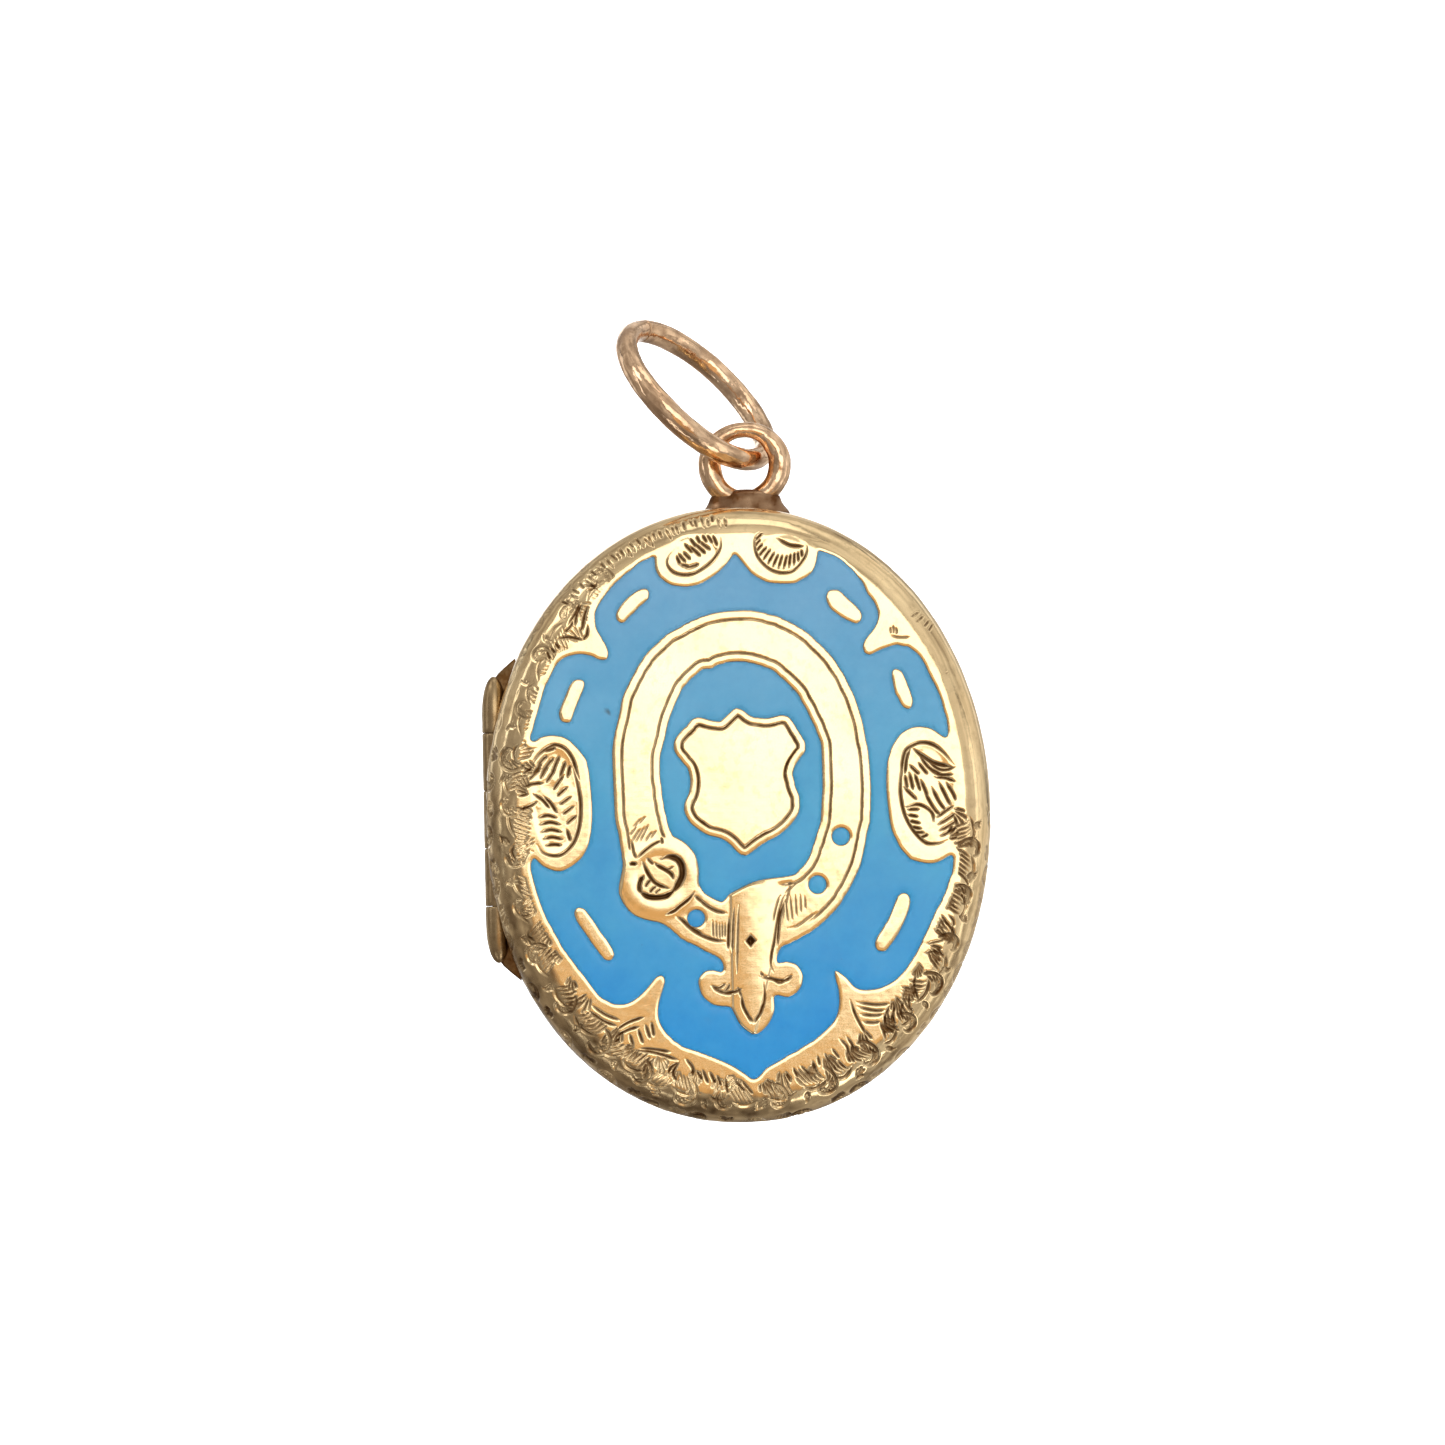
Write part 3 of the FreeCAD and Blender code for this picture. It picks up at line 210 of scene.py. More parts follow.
    (0.13, 0.060, [(-4.7, -9.26), (-4.5, -9.89)]), (0.13, 0.060, [(-4.38, -9.06), (-4.18, -9.69)]), (0.13, 0.060, [(-4.11, -8.96), (-4.02, -9.59)]), 
    (0.13, 0.060, [(-5.5, -9.66), (-5.71, -9.81)]), (0.13, 0.060, [(-4.87, -10.2), (-4.14, -10.27), (-3.4, -10.5), (-2.93, -10.67)]), 
    (0.13, 0.060, [(-4.71, -10.1), (-4.03, -10.17), (-3.29, -10.29)]), (0.13, 0.060, [(-3.42, -11.29), (-3.31, -10.97), (-2.99, -10.77)]), 
    (0.13, 0.060, [(-6.73, -8.16), (-6.11, -8.6), (-5.48, -8.87)]), (0.13, 0.060, [(-6.89, -8.37), (-6.22, -8.86), (-5.59, -9.13)]), 
    (0.13, 0.060, [(-2.2, -11.1), (-1.95, -11.53)]), (0.13, 0.060, [(-1.94, -11.06), (-1.69, -11.69)]), 
    (0.13, 0.060, [(-1.62, -11.17), (-1.37, -11.7)]), (0.13, 0.060, [(-1.31, -11.33), (-1.11, -11.81)]), 
    (0.13, 0.060, [(-0.94, -11.45), (-0.85, -12.19)]), (0.13, 0.060, [(-0.58, -11.56), (-0.06, -12.1)]), 
    (0.13, 0.060, [(-0.26, -11.57), (0.26, -12.21)]), (0.13, 0.060, [(-2.93, -10.72), (-3.21, -11.19), (-3.01, -11.61)]), 
    (0.13, 0.060, [(-2.67, -10.57), (-2.36, -10.99), (-2.37, -11.41)]), (0.12, 0.055, [(4.58, -8.2), (4.83, -8.94), (5.29, -9.8)]), 
    (0.12, 0.055, [(4.84, -8.31), (5.69, -8.44), (6.33, -8.4)]), (0.12, 0.055, [(4.89, -8.52), (5.68, -8.7), (6.11, -8.66)]), 
    (0.12, 0.055, [(4.99, -8.84), (5.57, -8.91), (6, -8.86)]), (0.12, 0.055, [(5.09, -9.16), (5.51, -9.22), (5.88, -9.18)]), 
    (0.12, 0.055, [(6.32, -8.45), (6.1, -8.97), (6.09, -9.39)]), (0.12, 0.055, [(6.64, -8.35), (6.44, -8.87), (6.52, -9.3)]), 
    (0.12, 0.055, [(6.97, -8.2), (6.79, -8.78), (6.94, -9.2)]), (0.12, 0.055, [(7.18, -8.05), (7.17, -8.57), (7.38, -8.79)]), 
    (0.12, 0.055, [(4.07, -9.88), (4.38, -10.2), (4.47, -10.62)]), (0.12, 0.055, [(4.39, -9.78), (4.64, -10.2), (4.58, -10.52)]), 
    (0.12, 0.055, [(3.74, -10.29), (4.05, -10.72)]), (0.12, 0.055, [(3.42, -10.49), (3.62, -10.92)]), (0.12, 0.055, [(3.1, -10.59), (3.19, -11.01)]), 
    (0.12, 0.055, [(2.88, -10.8), (2.98, -11.22)]), (0.12, 0.055, [(5.33, -10.33), (5.75, -10.6)]), (0.12, 0.055, [(6.09, -9.39), (6.51, -9.72)]), 
    (0.12, 0.055, [(6.3, -9.35), (6.72, -9.62)]), (0.12, 0.055, [(7.52, -7), (7.4, -7.63), (7.6, -8.37)]), 
    (0.12, 0.055, [(7.86, -6.27), (8.29, -6.17), (8.6, -6.39)]), (0.12, 0.055, [(7.97, -5.85), (8.4, -5.75), (8.83, -5.65)]), 
    (0.12, 0.055, [(8.31, -5.22), (8.62, -5.44), (9.04, -5.55)]), (0.12, 0.055, [(8.74, -4.8), (9.05, -5.13), (9.21, -5.45)]), 
    (0.12, 0.055, [(9.47, -3.23), (9.83, -3.77)]), (0.12, 0.055, [(9.51, -3.55), (9.82, -4.19)]), (0.12, 0.055, [(9.69, -2.92), (9.94, -3.35)]), 
    (0.12, 0.055, [(8.96, -4.6), (9.17, -4.81), (9.21, -5.13)]), (0.12, 0.055, [(2.35, -11), (2.76, -11.43)]), 
    (0.12, 0.055, [(2.03, -11.09), (2.23, -11.52)]), (0.12, 0.055, [(1.71, -11.3), (1.91, -11.72)]), 
    (0.10, 0.035, [(6.64, 7.68), (7.05, 7.57), (7.56, 7.57)]), (0.10, 0.035, [(6.69, 8.02), (6.72, 7.76)]), 
    (0.10, 0.035, [(6.81, 8.1), (6.85, 7.76)]), (0.10, 0.035, [(6.94, 8.01), (6.97, 7.72)]), (0.10, 0.035, [(9.12, 5.96), (9.25, 6.05)]), 
    (0.07, 0.030, [(-4.84, -1.18), (-4.43, -0.56)]), (0.07, 0.030, [(-4.7, -1.24), (-4.24, -0.48)]), (0.07, 0.030, [(-4.5, -1.21), (-4.07, -0.39)]), 
    (0.07, 0.030, [(-4.91, -0.89), (-4.61, -0.48)]), (0.07, 0.030, [(-4.76, -0.56), (-4.37, -0.11)]), (0.07, 0.030, [(-4.53, -0.39), (-4.19, -0.03)]), 
    (0.07, 0.030, [(-4.25, -1.15), (-3.91, -0.7)]), (0.07, 0.030, [(-4.02, -1.03), (-3.74, -0.66)]), (0.07, 0.035, [(-1.36, -4.62), (-1.34, -5.37)]), 
    (0.07, 0.035, [(-1.21, -4.64), (-1.2, -5.41)]), (0.07, 0.035, [(-1.07, -4.71), (-1.06, -5.46)]), (0.07, 0.035, [(-0.95, -4.71), (-0.95, -5.42)]), 
    (0.07, 0.035, [(-0.82, -4.76), (-0.84, -5.38)]), (0.06, 0.030, [(1.83, -3.77), (1.93, -4.77)]), (0.06, 0.030, [(2.04, -3.61), (2.13, -4.73)]), 
    (0.06, 0.030, [(2.27, -3.53), (2.31, -4.53)]), (0.06, 0.030, [(2.49, -3.53), (2.5, -4.37)]), (0.06, 0.030, [(2.69, -3.62), (2.7, -4.2)]), 
    (0.14, 0.060, [(-2.05, -3.52), (-1.68, -3.91), (-1.19, -4.21), (-0.73, -4.32)]), 
    (0.14, 0.060, [(-2.93, -4.38), (-2.53, -4.76), (-2.04, -5.15), (-1.38, -5.45), (-0.78, -5.56)]), 
    (0.10, 0.045, [(-0.42, -4.06), (-0.47, -4.81), (-0.51, -5.55), (-0.54, -6.05)]), 
    (0.08, 0.035, [(-0.2, -3.94), (-0.26, -4.81), (-0.3, -5.72), (-0.34, -6.72)]), 
    (0.12, 0.050, [(1.96, -3.48), (1.73, -3.77), (1.57, -4.26), (1.43, -4.93), (1.31, -5.59), (1.19, -6.09), (1.14, -6.59), (1.26, -6.92)]), 
    (0.08, 0.035, [(1.71, -3.52), (1.54, -3.76), (1.36, -4.34), (1.29, -4.76)]), (0.08, 0.035, [(2.6, -2.83), (2.18, -3.19), (1.83, -3.52)]), 
    (0.09, 0.035, [(1.89, -5.04), (2.31, -4.95), (2.81, -4.62), (3.24, -4.34)]), 
    (0.13, 0.055, [(-0.3, -7.6), (-0.64, -7.8), (-1.01, -7.75), (-1.34, -7.57), (-1.42, -7.43)]), 
    (0.10, 0.045, [(-0.67, -7.38), (-0.76, -7.59), (-0.93, -7.71)]), 
    (0.13, 0.055, [(0.8, -7.06), (1.17, -7.21), (1.59, -7.3), (1.92, -7.23), (2.05, -7.06)]), 
    (0.14, 0.060, [(-0.18, -7.89), (-0.11, -8.35), (0.09, -8.77), (0.34, -9.11)]), 
    (0.14, 0.060, [(0.86, -8.12), (0.73, -8.45), (0.59, -8.78), (0.36, -9.11)]), (0.10, 0.040, [(-0.34, -7.51), (-0.26, -7.72), (-0.16, -7.97)]), 
    (0.10, 0.040, [(0.68, -6.95), (0.8, -7.06)]), 
    (0.29, 0.105, [(-3.57, -1.93), (-3.32, -1.83), (-3.07, -1.83), (-2.83, -1.93), (-2.68, -2.16), (-2.63, -2.42), (-2.65, -2.67), (-2.75, -2.89), (-2.9, -3.14), (-3.13, -3.38)]), 
    (0.23, 0.100, [(-2.9, -3.19), (-3.24, -3.46), (-3.52, -3.56), (-3.85, -3.58), (-4.13, -3.53), (-4.35, -3.41), (-4.48, -3.27)]), 
    (0.19, 0.090, [(-4.39, -3.41), (-4.52, -3.19), (-4.5, -2.94), (-4.42, -2.75), (-4.32, -2.61)]), 
    (0.16, 0.080, [(-3.85, -2.04), (-3.71, -2.18), (-3.46, -2.32), (-3.27, -2.44), (-3.11, -2.58), (-3.03, -2.8)]), 
    (0.15, 0.080, [(-4.36, -1.94), (-4.27, -2.22), (-4.11, -2.56), (-3.92, -2.84), (-3.67, -3.03), (-3.23, -3.2)]), 
    (0.12, 0.060, [(-4.16, -1.84), (-4.01, -2.01), (-3.89, -2.13)]), (0.13, 0.060, [(-4, -2.76), (-4.26, -3.1)]), 
    (0.12, 0.060, [(-3.79, -3.05), (-4.07, -3.35)]), (0.10, 0.050, [(-3.61, -3.19), (-3.82, -3.4)]), (0.10, 0.050, [(-3.02, -2.25), (-3.33, -2.38)]), 
    (0.13, 0.060, [(-4.62, -1.88), (-4.4, -1.67), (-4.14, -1.45), (-3.83, -1.23), (-3.5, -1.1)]), (0.17, 0.070, [(-4.92, -2.08), (-4.65, -2.1)]), 
    (0.11, 0.050, [(-4.84, -1.05), (-4.78, -1.38), (-4.72, -1.66), (-4.61, -1.88)]), (0.11, 0.050, [(-3.51, -0.96), (-3.48, -1.24)]), 
    (0.15, 0.070, [(-2.12, -3.35), (-2.35, -3.65), (-2.55, -3.81), (-2.8, -4), (-2.97, -4.14), (-3.4, -4.33)]), 
    (0.16, 0.070, [(-2.95, -4.4), (-2.68, -4.58), (-2.49, -4.76), (-2.21, -4.98), (-1.83, -5.18)]), (0.13, 0.060, [(-2.1, -3.54), (-1.8, -3.8)]), 
    (0.13, 0.060, [(-0.64, -4.49), (-0.67, -5.14), (-0.71, -5.89)]), (0.07, 0.035, [(-0.23, -4.25), (-0.3, -5.5), (-0.34, -6.94)]), 
    (0.12, 0.060, [(1.84, -3.79), (1.57, -4.54), (1.44, -5.78)]), (0.10, 0.050, [(-0.16, -7.9), (-0.07, -8.4), (0.22, -9.1)]), 
    (0.10, 0.050, [(0.81, -7.37), (0.85, -8.02), (0.68, -8.61), (0.32, -9.05)]), (0.12, 0.055, [(-1.5, -7.42), (-1.2, -7.57), (-0.85, -7.38)]), 
    (0.12, 0.055, [(-0.95, -7.78), (-0.45, -7.74), (-0.15, -7.6)]), (0.12, 0.055, [(0.61, -7.11), (1.21, -7.23), (1.56, -7.38), (2.07, -7.05)]), 
]

# ---------------------------------------------------------------- small numeric helpers
def smooth(x, a, b):
    t = np.clip((x - a) / (b - a), 0, 1)
    return t * t * (3 - 2 * t)


def noise2(x, y, seed, scale):
    """Smooth value noise in -1..1 on arrays, period-free, seeded."""
    r = np.random.default_rng(seed)
    tab = r.uniform(-1, 1, (97, 89))
    X, Y = x / scale + 1000.3, y / scale + 1000.7
    i, j = np.floor(X).astype(int), np.floor(Y).astype(int)
    fx, fy = X - i, Y - j
    fx, fy = fx * fx * (3 - 2 * fx), fy * fy * (3 - 2 * fy)
    g = lambda a, b: tab[a % 97, b % 89]
    return (g(i, j) * (1 - fx) + g(i + 1, j) * fx) * (1 - fy) + (g(i, j + 1) * (1 - fx) + g(i + 1, j + 1) * fx) * fy


class Raster:
    """A height map over a rectangle, in which strokes and distances are laid down."""

    def __init__(self, x0, x1, y0, y1, g):
        self.x0, self.y0, self.g = x0, y0, g
        self.nx, self.ny = int((x1 - x0) / g) + 2, int((y1 - y0) / g) + 2
        self.h = np.zeros((self.ny, self.nx), np.float32)

    def window(self, xa, xb, ya, yb):
        i0 = max(0, int((xa - self.x0) / self.g)); i1 = min(self.nx, int((xb - self.x0) / self.g) + 2)
        j0 = max(0, int((ya - self.y0) / self.g)); j1 = min(self.ny, int((yb - self.y0) / self.g) + 2)
        if i1 <= i0 or j1 <= j0:
            return None
        X = self.x0 + np.arange(i0, i1) * self.g
        Y = self.y0 + np.arange(j0, j1) * self.g
        return (slice(j0, j1), slice(i0, i1)), X[None, :], Y[:, None]

    def groove(self, pts, width, depth, taper=(0.5, 0.25), out=None, sharp=1.0):
        """A graver's cut: pointed where it enters, V-shaped across."""
        pts = np.asarray(pts, float)
        if len(pts) < 3:
            pts = pts[0] + (pts[-1] - pts[0]) * np.linspace(0, 1, 7)[:, None]
        pts = curve(pts)
        seg = np.diff(pts, axis=0)
        L = np.hypot(seg[:, 0], seg[:, 1])
        s = np.concatenate([[0], np.cumsum(L)])
        if s[-1] < 1e-6:
            return
        q = s / s[-1]
        wq = np.minimum(1, np.minimum((q + 0.02) / max(taper[0], 1e-3), (1 - q + 0.02) / max(taper[1], 1e-3)))
        wq = np.clip(wq, 0.12, 1) ** 0.7
        h = self.h if out is None else out
        for k in range(len(seg)):
            a, b = pts[k], pts[k + 1]
            if L[k] < 1e-9:
                continue
            w = self.window(min(a[0], b[0]) - width, max(a[0], b[0]) + width, min(a[1], b[1]) - width, max(a[1], b[1]) + width)
            if w is None:
                continue
            sl, X, Y = w
            t = np.clip(((X - a[0]) * seg[k, 0] + (Y - a[1]) * seg[k, 1]) / L[k] ** 2, 0, 1)
            d = np.hypot(X - a[0] - t * seg[k, 0], Y - a[1] - t * seg[k, 1])
            ww = wq[k] + (wq[k + 1] - wq[k]) * t
            half = 0.5 * width * ww
            v = np.clip(1 - d / half, 0, 1)
            v = v * v * (3 - 2 * v) * (1 - sharp) + v * sharp
            np.maximum(h[sl], (depth * ww * v).astype(np.float32), out=h[sl])

    def distance(self, pts, reach):
        """Unsigned distance to a closed outline, clipped to reach."""
        d = np.full_like(self.h, reach)
        n = len(pts)
        for k in range(n):
            a, b = pts[k], pts[(k + 1) % n]
            e = b - a
            L2 = max(e @ e, 1e-12)
            w = self.window(min(a[0], b[0]) - reach, max(a[0], b[0]) + reach, min(a[1], b[1]) - reach, max(a[1], b[1]) + reach)
            if w is None:
                continue
            sl, X, Y = w
            t = np.clip(((X - a[0]) * e[0] + (Y - a[1]) * e[1]) / L2, 0, 1)
            dd = np.hypot(X - a[0] - t * e[0], Y - a[1] - t * e[1]).astype(np.float32)
            np.minimum(d[sl], dd, out=d[sl])
        return d

    def inside(self, pts):
        T = np.zeros((self.ny, self.nx + 1), np.int32)
        Y = self.y0 + np.arange(self.ny) * self.g
        n = len(pts)
        for k in range(n):
            a, b = pts[k], pts[(k + 1) % n]
            if a[1] == b[1]:
                continue
            lo, hi = (a, b) if a[1] < b[1] else (b, a)
            j = np.nonzero((Y >= lo[1]) & (Y < hi[1]))[0]
            if not len(j):
                continue
            x = lo[0] + (Y[j] - lo[1]) * (hi[0] - lo[0]) / (hi[1] - lo[1])
            i = np.clip(np.ceil((x - self.x0) / self.g).astype(int), 0, self.nx)
            np.add.at(T, (j, i), 1)
        return (np.cumsum(T, axis=1)[:, : self.nx] % 2).astype(bool)

    def signed(self, pts, reach):
        """Signed distance, negative inside."""
        return np.where(self.inside(pts), -1, 1).astype(np.float32) * self.distance(pts, reach)

    def sample(self, arr, x, y):
        X = np.clip((x - self.x0) / self.g, 0, self.nx - 1.001)
        Y = np.clip((y - self.y0) / self.g, 0, self.ny - 1.001)
        i, j = X.astype(int), Y.astype(int)
        fx, fy = X - i, Y - j
        return (arr[j, i] * (1 - fx) + arr[j, i + 1] * fx) * (1 - fy) + (arr[j + 1, i] * (1 - fx) + arr[j + 1, i + 1] * fx) * fy


def curve(pts, closed=False, step=0.05):
    """Catmull-Rom through the points, resampled."""
    P = np.asarray(pts, float)
    n = len(P)
    if n < 3 and not closed:
        return P
    out = []
    rng = range(n if closed else n - 1)
    for k in rng:
        p1, p2 = P[k], P[(k + 1) % n]
        p0 = P[k - 1] if (closed or k > 0) else 2 * p1 - p2
        p3 = P[(k + 2) % n] if (closed or k + 2 < n) else 2 * p2 - p1
        m = max(2, int(np.hypot(*(p2 - p1)) / step))
        t = np.arange(m)[:, None] / m
        out.append(0.5 * (2 * p1 + (p2 - p0) * t + (2 * p0 - 5 * p1 + 4 * p2 - p3) * t ** 2 + (3 * p1 - p0 - 3 * p2 + p3) * t ** 3))
    if not closed:
        out.append(P[-1:])
    return np.vstack(out)


def soften(pts, rounds=2):
    """Corner cutting that keeps real points sharp."""
    P = np.asarray(pts, float)
    for _ in range(rounds):
        n = len(P)
        prev, nxt = np.roll(P, 1, 0), np.roll(P, -1, 0)
        a, b = P - prev, nxt - P
        turn = np.abs(np.arctan2(a[:, 0] * b[:, 1] - a[:, 1] * b[:, 0], (a * b).sum(1)))
        out = []
        for k in range(n):
            if turn[k] > 1.0:
                out.append(P[k])
            else:
                out.append(0.75 * P[k] + 0.25 * prev[k])
                out.append(0.75 * P[k] + 0.25 * nxt[k])
        P = np.array(out)
    return P


def mesh_object(name, verts, faces, attrs=None, outward=True):
    """verts in mm, flat frame; faces a list of index lists."""
    co = row(verts)
    me = bpy.data.meshes.new(name)
    me.from_pydata(co.tolist(), [], faces)
    if outward:
        n = len(me.loop_triangles) if me.loop_triangles else 0
        me.calc_loop_triangles()
        tri = np.empty(len(me.loop_triangles) * 3, np.int32)
        me.loop_triangles.foreach_get("vertices", tri)
        tri = tri.reshape(-1, 3)
        a, b, c = co[tri[:, 0]], co[tri[:, 1]], co[tri[:, 2]]
        if np.einsum("ij,ij->i", a, np.cross(b, c)).sum() < 0:
            me.flip_normals()
    me.polygons.foreach_set("use_smooth", np.ones(len(me.polygons), bool))
    for k, v in (attrs or {}).items():
        at = me.attributes.new(k, "FLOAT", "POINT")
        at.data.foreach_set("value", np.asarray(v, np.float32).ravel())
    me.validate()
    me.update()
    o = bpy.data.objects.new(name, me)
    bpy.context.scene.collection.objects.link(o)
    return o


def stitch(counts, closed_ring=True, first=0):
    """Faces between stacked rings; a ring may have half as many points as the one before."""
    faces, start = [], first
    for k in range(len(counts) - 1):
        n, m = counts[k], counts[k + 1]
        A, B = start, start + n
        if n == m:
            i = np.arange(n)
            j = (i + 1) % n
            faces += np.stack([A + i, A + j, B + j, B + i], 1).tolist()
        elif m == 1:
            i = np.arange(n)
            faces += np.stack([A + i, A + (i + 1) % n, np.full(n, B)], 1).tolist()
        else:
            i = np.arange(m)
            i1 = (i + 1) % m
            a0, a1, a2 = A + 2 * i, A + 2 * i + 1, A + (2 * i + 2) % n
            faces += np.stack([a0, a1, B + i], 1).tolist()
            faces += np.stack([a1, a2, B + i1, B + i], 1).tolist()
        start += n
    return faces


def tube(name, path, rad_a, rad_b, dir_b, seg=48, closed=False, caps=True, attrs=None):
    """Elliptical wire along a path: rad_b along dir_b, rad_a across it and the path."""
    P = np.asarray(path, float)
    n = len(P)
    T = np.roll(P, -1, 0) - np.roll(P, 1, 0)
    if not closed:
        T[0], T[-1] = P[1] - P[0], P[-1] - P[-2]
    T /= np.linalg.norm(T, axis=1)[:, None]
    Bv = np.asarray(dir_b, float) * np.ones((n, 3))
    Bv = Bv - (Bv * T).sum(1)[:, None] * T
    Bv /= np.linalg.norm(Bv, axis=1)[:, None]
    A = np.cross(T, Bv)
    th = np.linspace(0, 2 * np.pi, seg, endpoint=False)
    ra = np.broadcast_to(np.asarray(rad_a, float).reshape(-1, 1) if np.ndim(rad_a) < 2 else rad_a, (n, seg))
    rb = np.broadcast_to(np.asarray(rad_b, float).reshape(-1, 1) if np.ndim(rad_b) < 2 else rad_b, (n, seg))
    V = P[:, None, :] + (ra * np.cos(th))[..., None] * A[:, None, :] + (rb * np.sin(th))[..., None] * Bv[:, None, :]
    i = np.arange(n if closed else n - 1)[:, None] * seg
    i2 = (np.arange(n if closed else n - 1)[:, None] + 1) % n * seg
    j = np.arange(seg)[None, :]
    j2 = (j + 1) % seg
    faces = np.stack([i + j, i + j2, i2 + j2, i2 + j], -1).reshape(-1, 4).tolist()
    V = V.reshape(-1, 3)
    if not closed and caps:
        faces += [list(range(seg))[::-1], list(range((n - 1) * seg, n * seg))]
    return V, faces


# ---------------------------------------------------------------- height map of the face
G = 0.02
face = Raster(-11.4, 11.4, -13.9, 13.9, G)
FIELD_S, OUT_S, IN_S, SH_S = (soften(p) for p in (FIELD, STRAP_OUTER, STRAP_INNER, SHIELD))
DASH_S = [soften(p) for p in DASHES]
REACH = 0.7
sd_field = face.signed(FIELD_S, REACH)
sd_out = face.signed(OUT_S, REACH)
sd_in = face.signed(IN_S, REACH)
sd_shield = face.signed(SH_S, REACH)
sd_main = np.maximum(sd_field, -sd_out)
for d in DASH_S:
    sd_main = np.maximum(sd_main, -face.signed(d, REACH))
sd_centre = np.maximum(sd_in, -sd_shield)
GX = (face.x0 + np.arange(face.nx) * G)[None, :]
GY = (face.y0 + np.arange(face.ny) * G)[:, None]
sd_holes = np.full_like(face.h, REACH)
for hx, hy, hr in HOLES:
    sd_holes = np.minimum(sd_holes, (np.hypot(GX - hx, GY - hy) - hr).astype(np.float32))
sd_enamel = np.minimum(np.minimum(sd_main, sd_centre), sd_holes)

for w_, d_, p_ in STROKES:
    face.groove(p_, 1.15 * w_, 1.25 * d_, (0.3, 0.2))
cut = face.h

# lines that follow an edge at a fixed distance: strap, shield
def follow(sd, at, width, depth, mask):
    v = np.clip(1 - np.abs(sd - at) / (0.5 * width), 0, 1) * depth * mask
    np.maximum(cut, v.astype(np.float32), out=cut)


wob = (noise2(GX + 0 * GY, GY + 0 * GX, 3, 0.9) * 0.25 + noise2(GX + 0 * GY, GY + 0 * GX, 4, 0.25) * 0.12).astype(np.float32)
strap = (sd_out < 0) & (sd_in > 0)
upper = smooth(GY + 0 * GX, -2.3, -1.6)
right_low = smooth(GX + 0 * GY, 1.6, 2.0) * smooth(GY + 0 * GX, -4.9, -4.4)
away_buckle = smooth(np.hypot(GX + 3.62, GY + 2.78), 1.75, 1.95)
mask = strap * np.maximum(upper, right_low) * away_buckle
follow(sd_out + 0.05 * wob, -0.41, 0.12, 0.065, mask * (0.8 + wob))
follow(-sd_in + 0.05 * wob, -0.39, 0.12, 0.065, mask * (0.8 + wob))
follow(sd_shield + 0.04 * wob, -0.36, 0.15, 0.08, 0.85 + wob)

# buckle: a rounded ring with a sunk middle
bx, by = GX + 3.60, GY + 2.72
rb = np.hypot(bx / 1.02, by)
# diamond on the hanging strap
dd = (np.abs(GX - 0.29) / 0.26 + np.abs(GY + 5.54) / 0.31)
np.maximum(cut, (np.clip(1.0 - dd, 0, 1) * 0.22).astype(np.float32), out=cut)

# broad modelling of the gold: the buckle swells, the strap end lies over the belt
relief = 0.016 * np.clip(1 - ((rb - 1.34) / 0.36) ** 2, 0, 1) + 0.012 * (1 - smooth(rb, 1.5, 1.9))
lap = smooth(GX + 0 * GY, -0.62, -0.48) * (1 - smooth(GX - 0.26 * (GY + 6.2), 1.20, 1.34)) * (1 - smooth(GY + 0 * GX, -3.2, -2.9)) * smooth(-sd_out, 0.0, 0.12) * smooth(sd_in, 0.0, 0.12)
relief = relief + 0.05 * lap * (1 - 0.5 * ((GX - 0.33) / 0.8) ** 2)
relief = relief + 0.007 * wob
relief = relief.astype(np.float32)

# hand-rubbed hollows and a dished border inside the cartouches
cart = np.zeros_like(cut)
for ox, oy, ax, ay in ((-8.05, 0.75, 1.12, 2.45), (8.25, 0.62, 1.15, 2.5), (-1.88, 11.45, 1.15, 0.85), (2.08, 11.42, 1.2, 0.85)):
    q = np.hypot((GX - ox) / ax, (GY - oy) / ay)
    cart = np.maximum(cart, 1 - smooth(q, 0.78, 1.0))
relief = relief - (0.03 * cart * (0.6 + 0.8 * np.abs(wob))).astype(np.float32)

well = smooth(-sd_enamel, -0.02, 0.07)
# the edge of the standing metal is very slightly rounded
lip = 0.018 * (1 - smooth(sd_enamel, 0.0, 0.16)) * (sd_enamel > -0.1)
height = relief - cut * (1 - well) - lip * (1 - well)
height = (height * (1 - well) - 0.30 * well).astype(np.float32)
# a thin dark line on the gold along the enamel: partly the enamel's own meniscus, partly painted shade in the crease
edge_line_shade = np.clip(1 - np.abs(sd_enamel - 0.015) / 0.055, 0, 1)
tarnish_and_shade = np.clip(cut / 0.045, 0, 1) * (1 - well)
tarnish_and_shade = np.maximum(tarnish_and_shade, 0.75 * edge_line_shade).astype(np.float32)
open_cut = np.clip(cut / 0.05, 0, 1)


# ---------------------------------------------------------------- outline of the case
LEAN = 0.42
SIDE_T = 1.0
INSET = 1.45
DOME = 0.06
TOP_F = FACE_T - 0.055
EDGE_T = TOP_F - DOME


def case_outline(n):
    th = np.radians(52) + np.linspace(0, 2 * np.pi, 20001)[:-1]
    c, s = np.cos(th), np.sin(th)
    e = 2 / 2.07
    x = (HALF_W - 0.01) * np.sign(c) * np.abs(c) ** e
    y = (HALF_H - 0.01) * np.sign(s) * np.abs(s) ** e
    P = np.stack([x, y], 1)
    L = np.concatenate([[0], np.cumsum(np.hypot(*(np.roll(P, -1, 0) - P).T))])
    s = np.linspace(0, L[-1], n, endpoint=False)
    X = np.interp(s, L, np.append(P[:, 0], P[0, 0]))
    Y = np.interp(s, L, np.append(P[:, 1], P[0, 1]))
    P = np.stack([X, Y], 1)
    T = np.roll(P, -3, 0) - np.roll(P, 3, 0)
    N = np.stack([T[:, 1], -T[:, 0]], 1)
    N /= np.hypot(*N.T)[:, None]
    w = max(3, n // 160)
    ker = np.hanning(2 * w + 1); ker /= ker.sum()
    for c in (0, 1):
        N[:, c] = np.convolve(np.concatenate([N[-w:, c], N[:, c], N[:w, c]]), ker, "valid")
    N /= np.hypot(*N.T)[:, None]
    return P, N, s, L[-1]


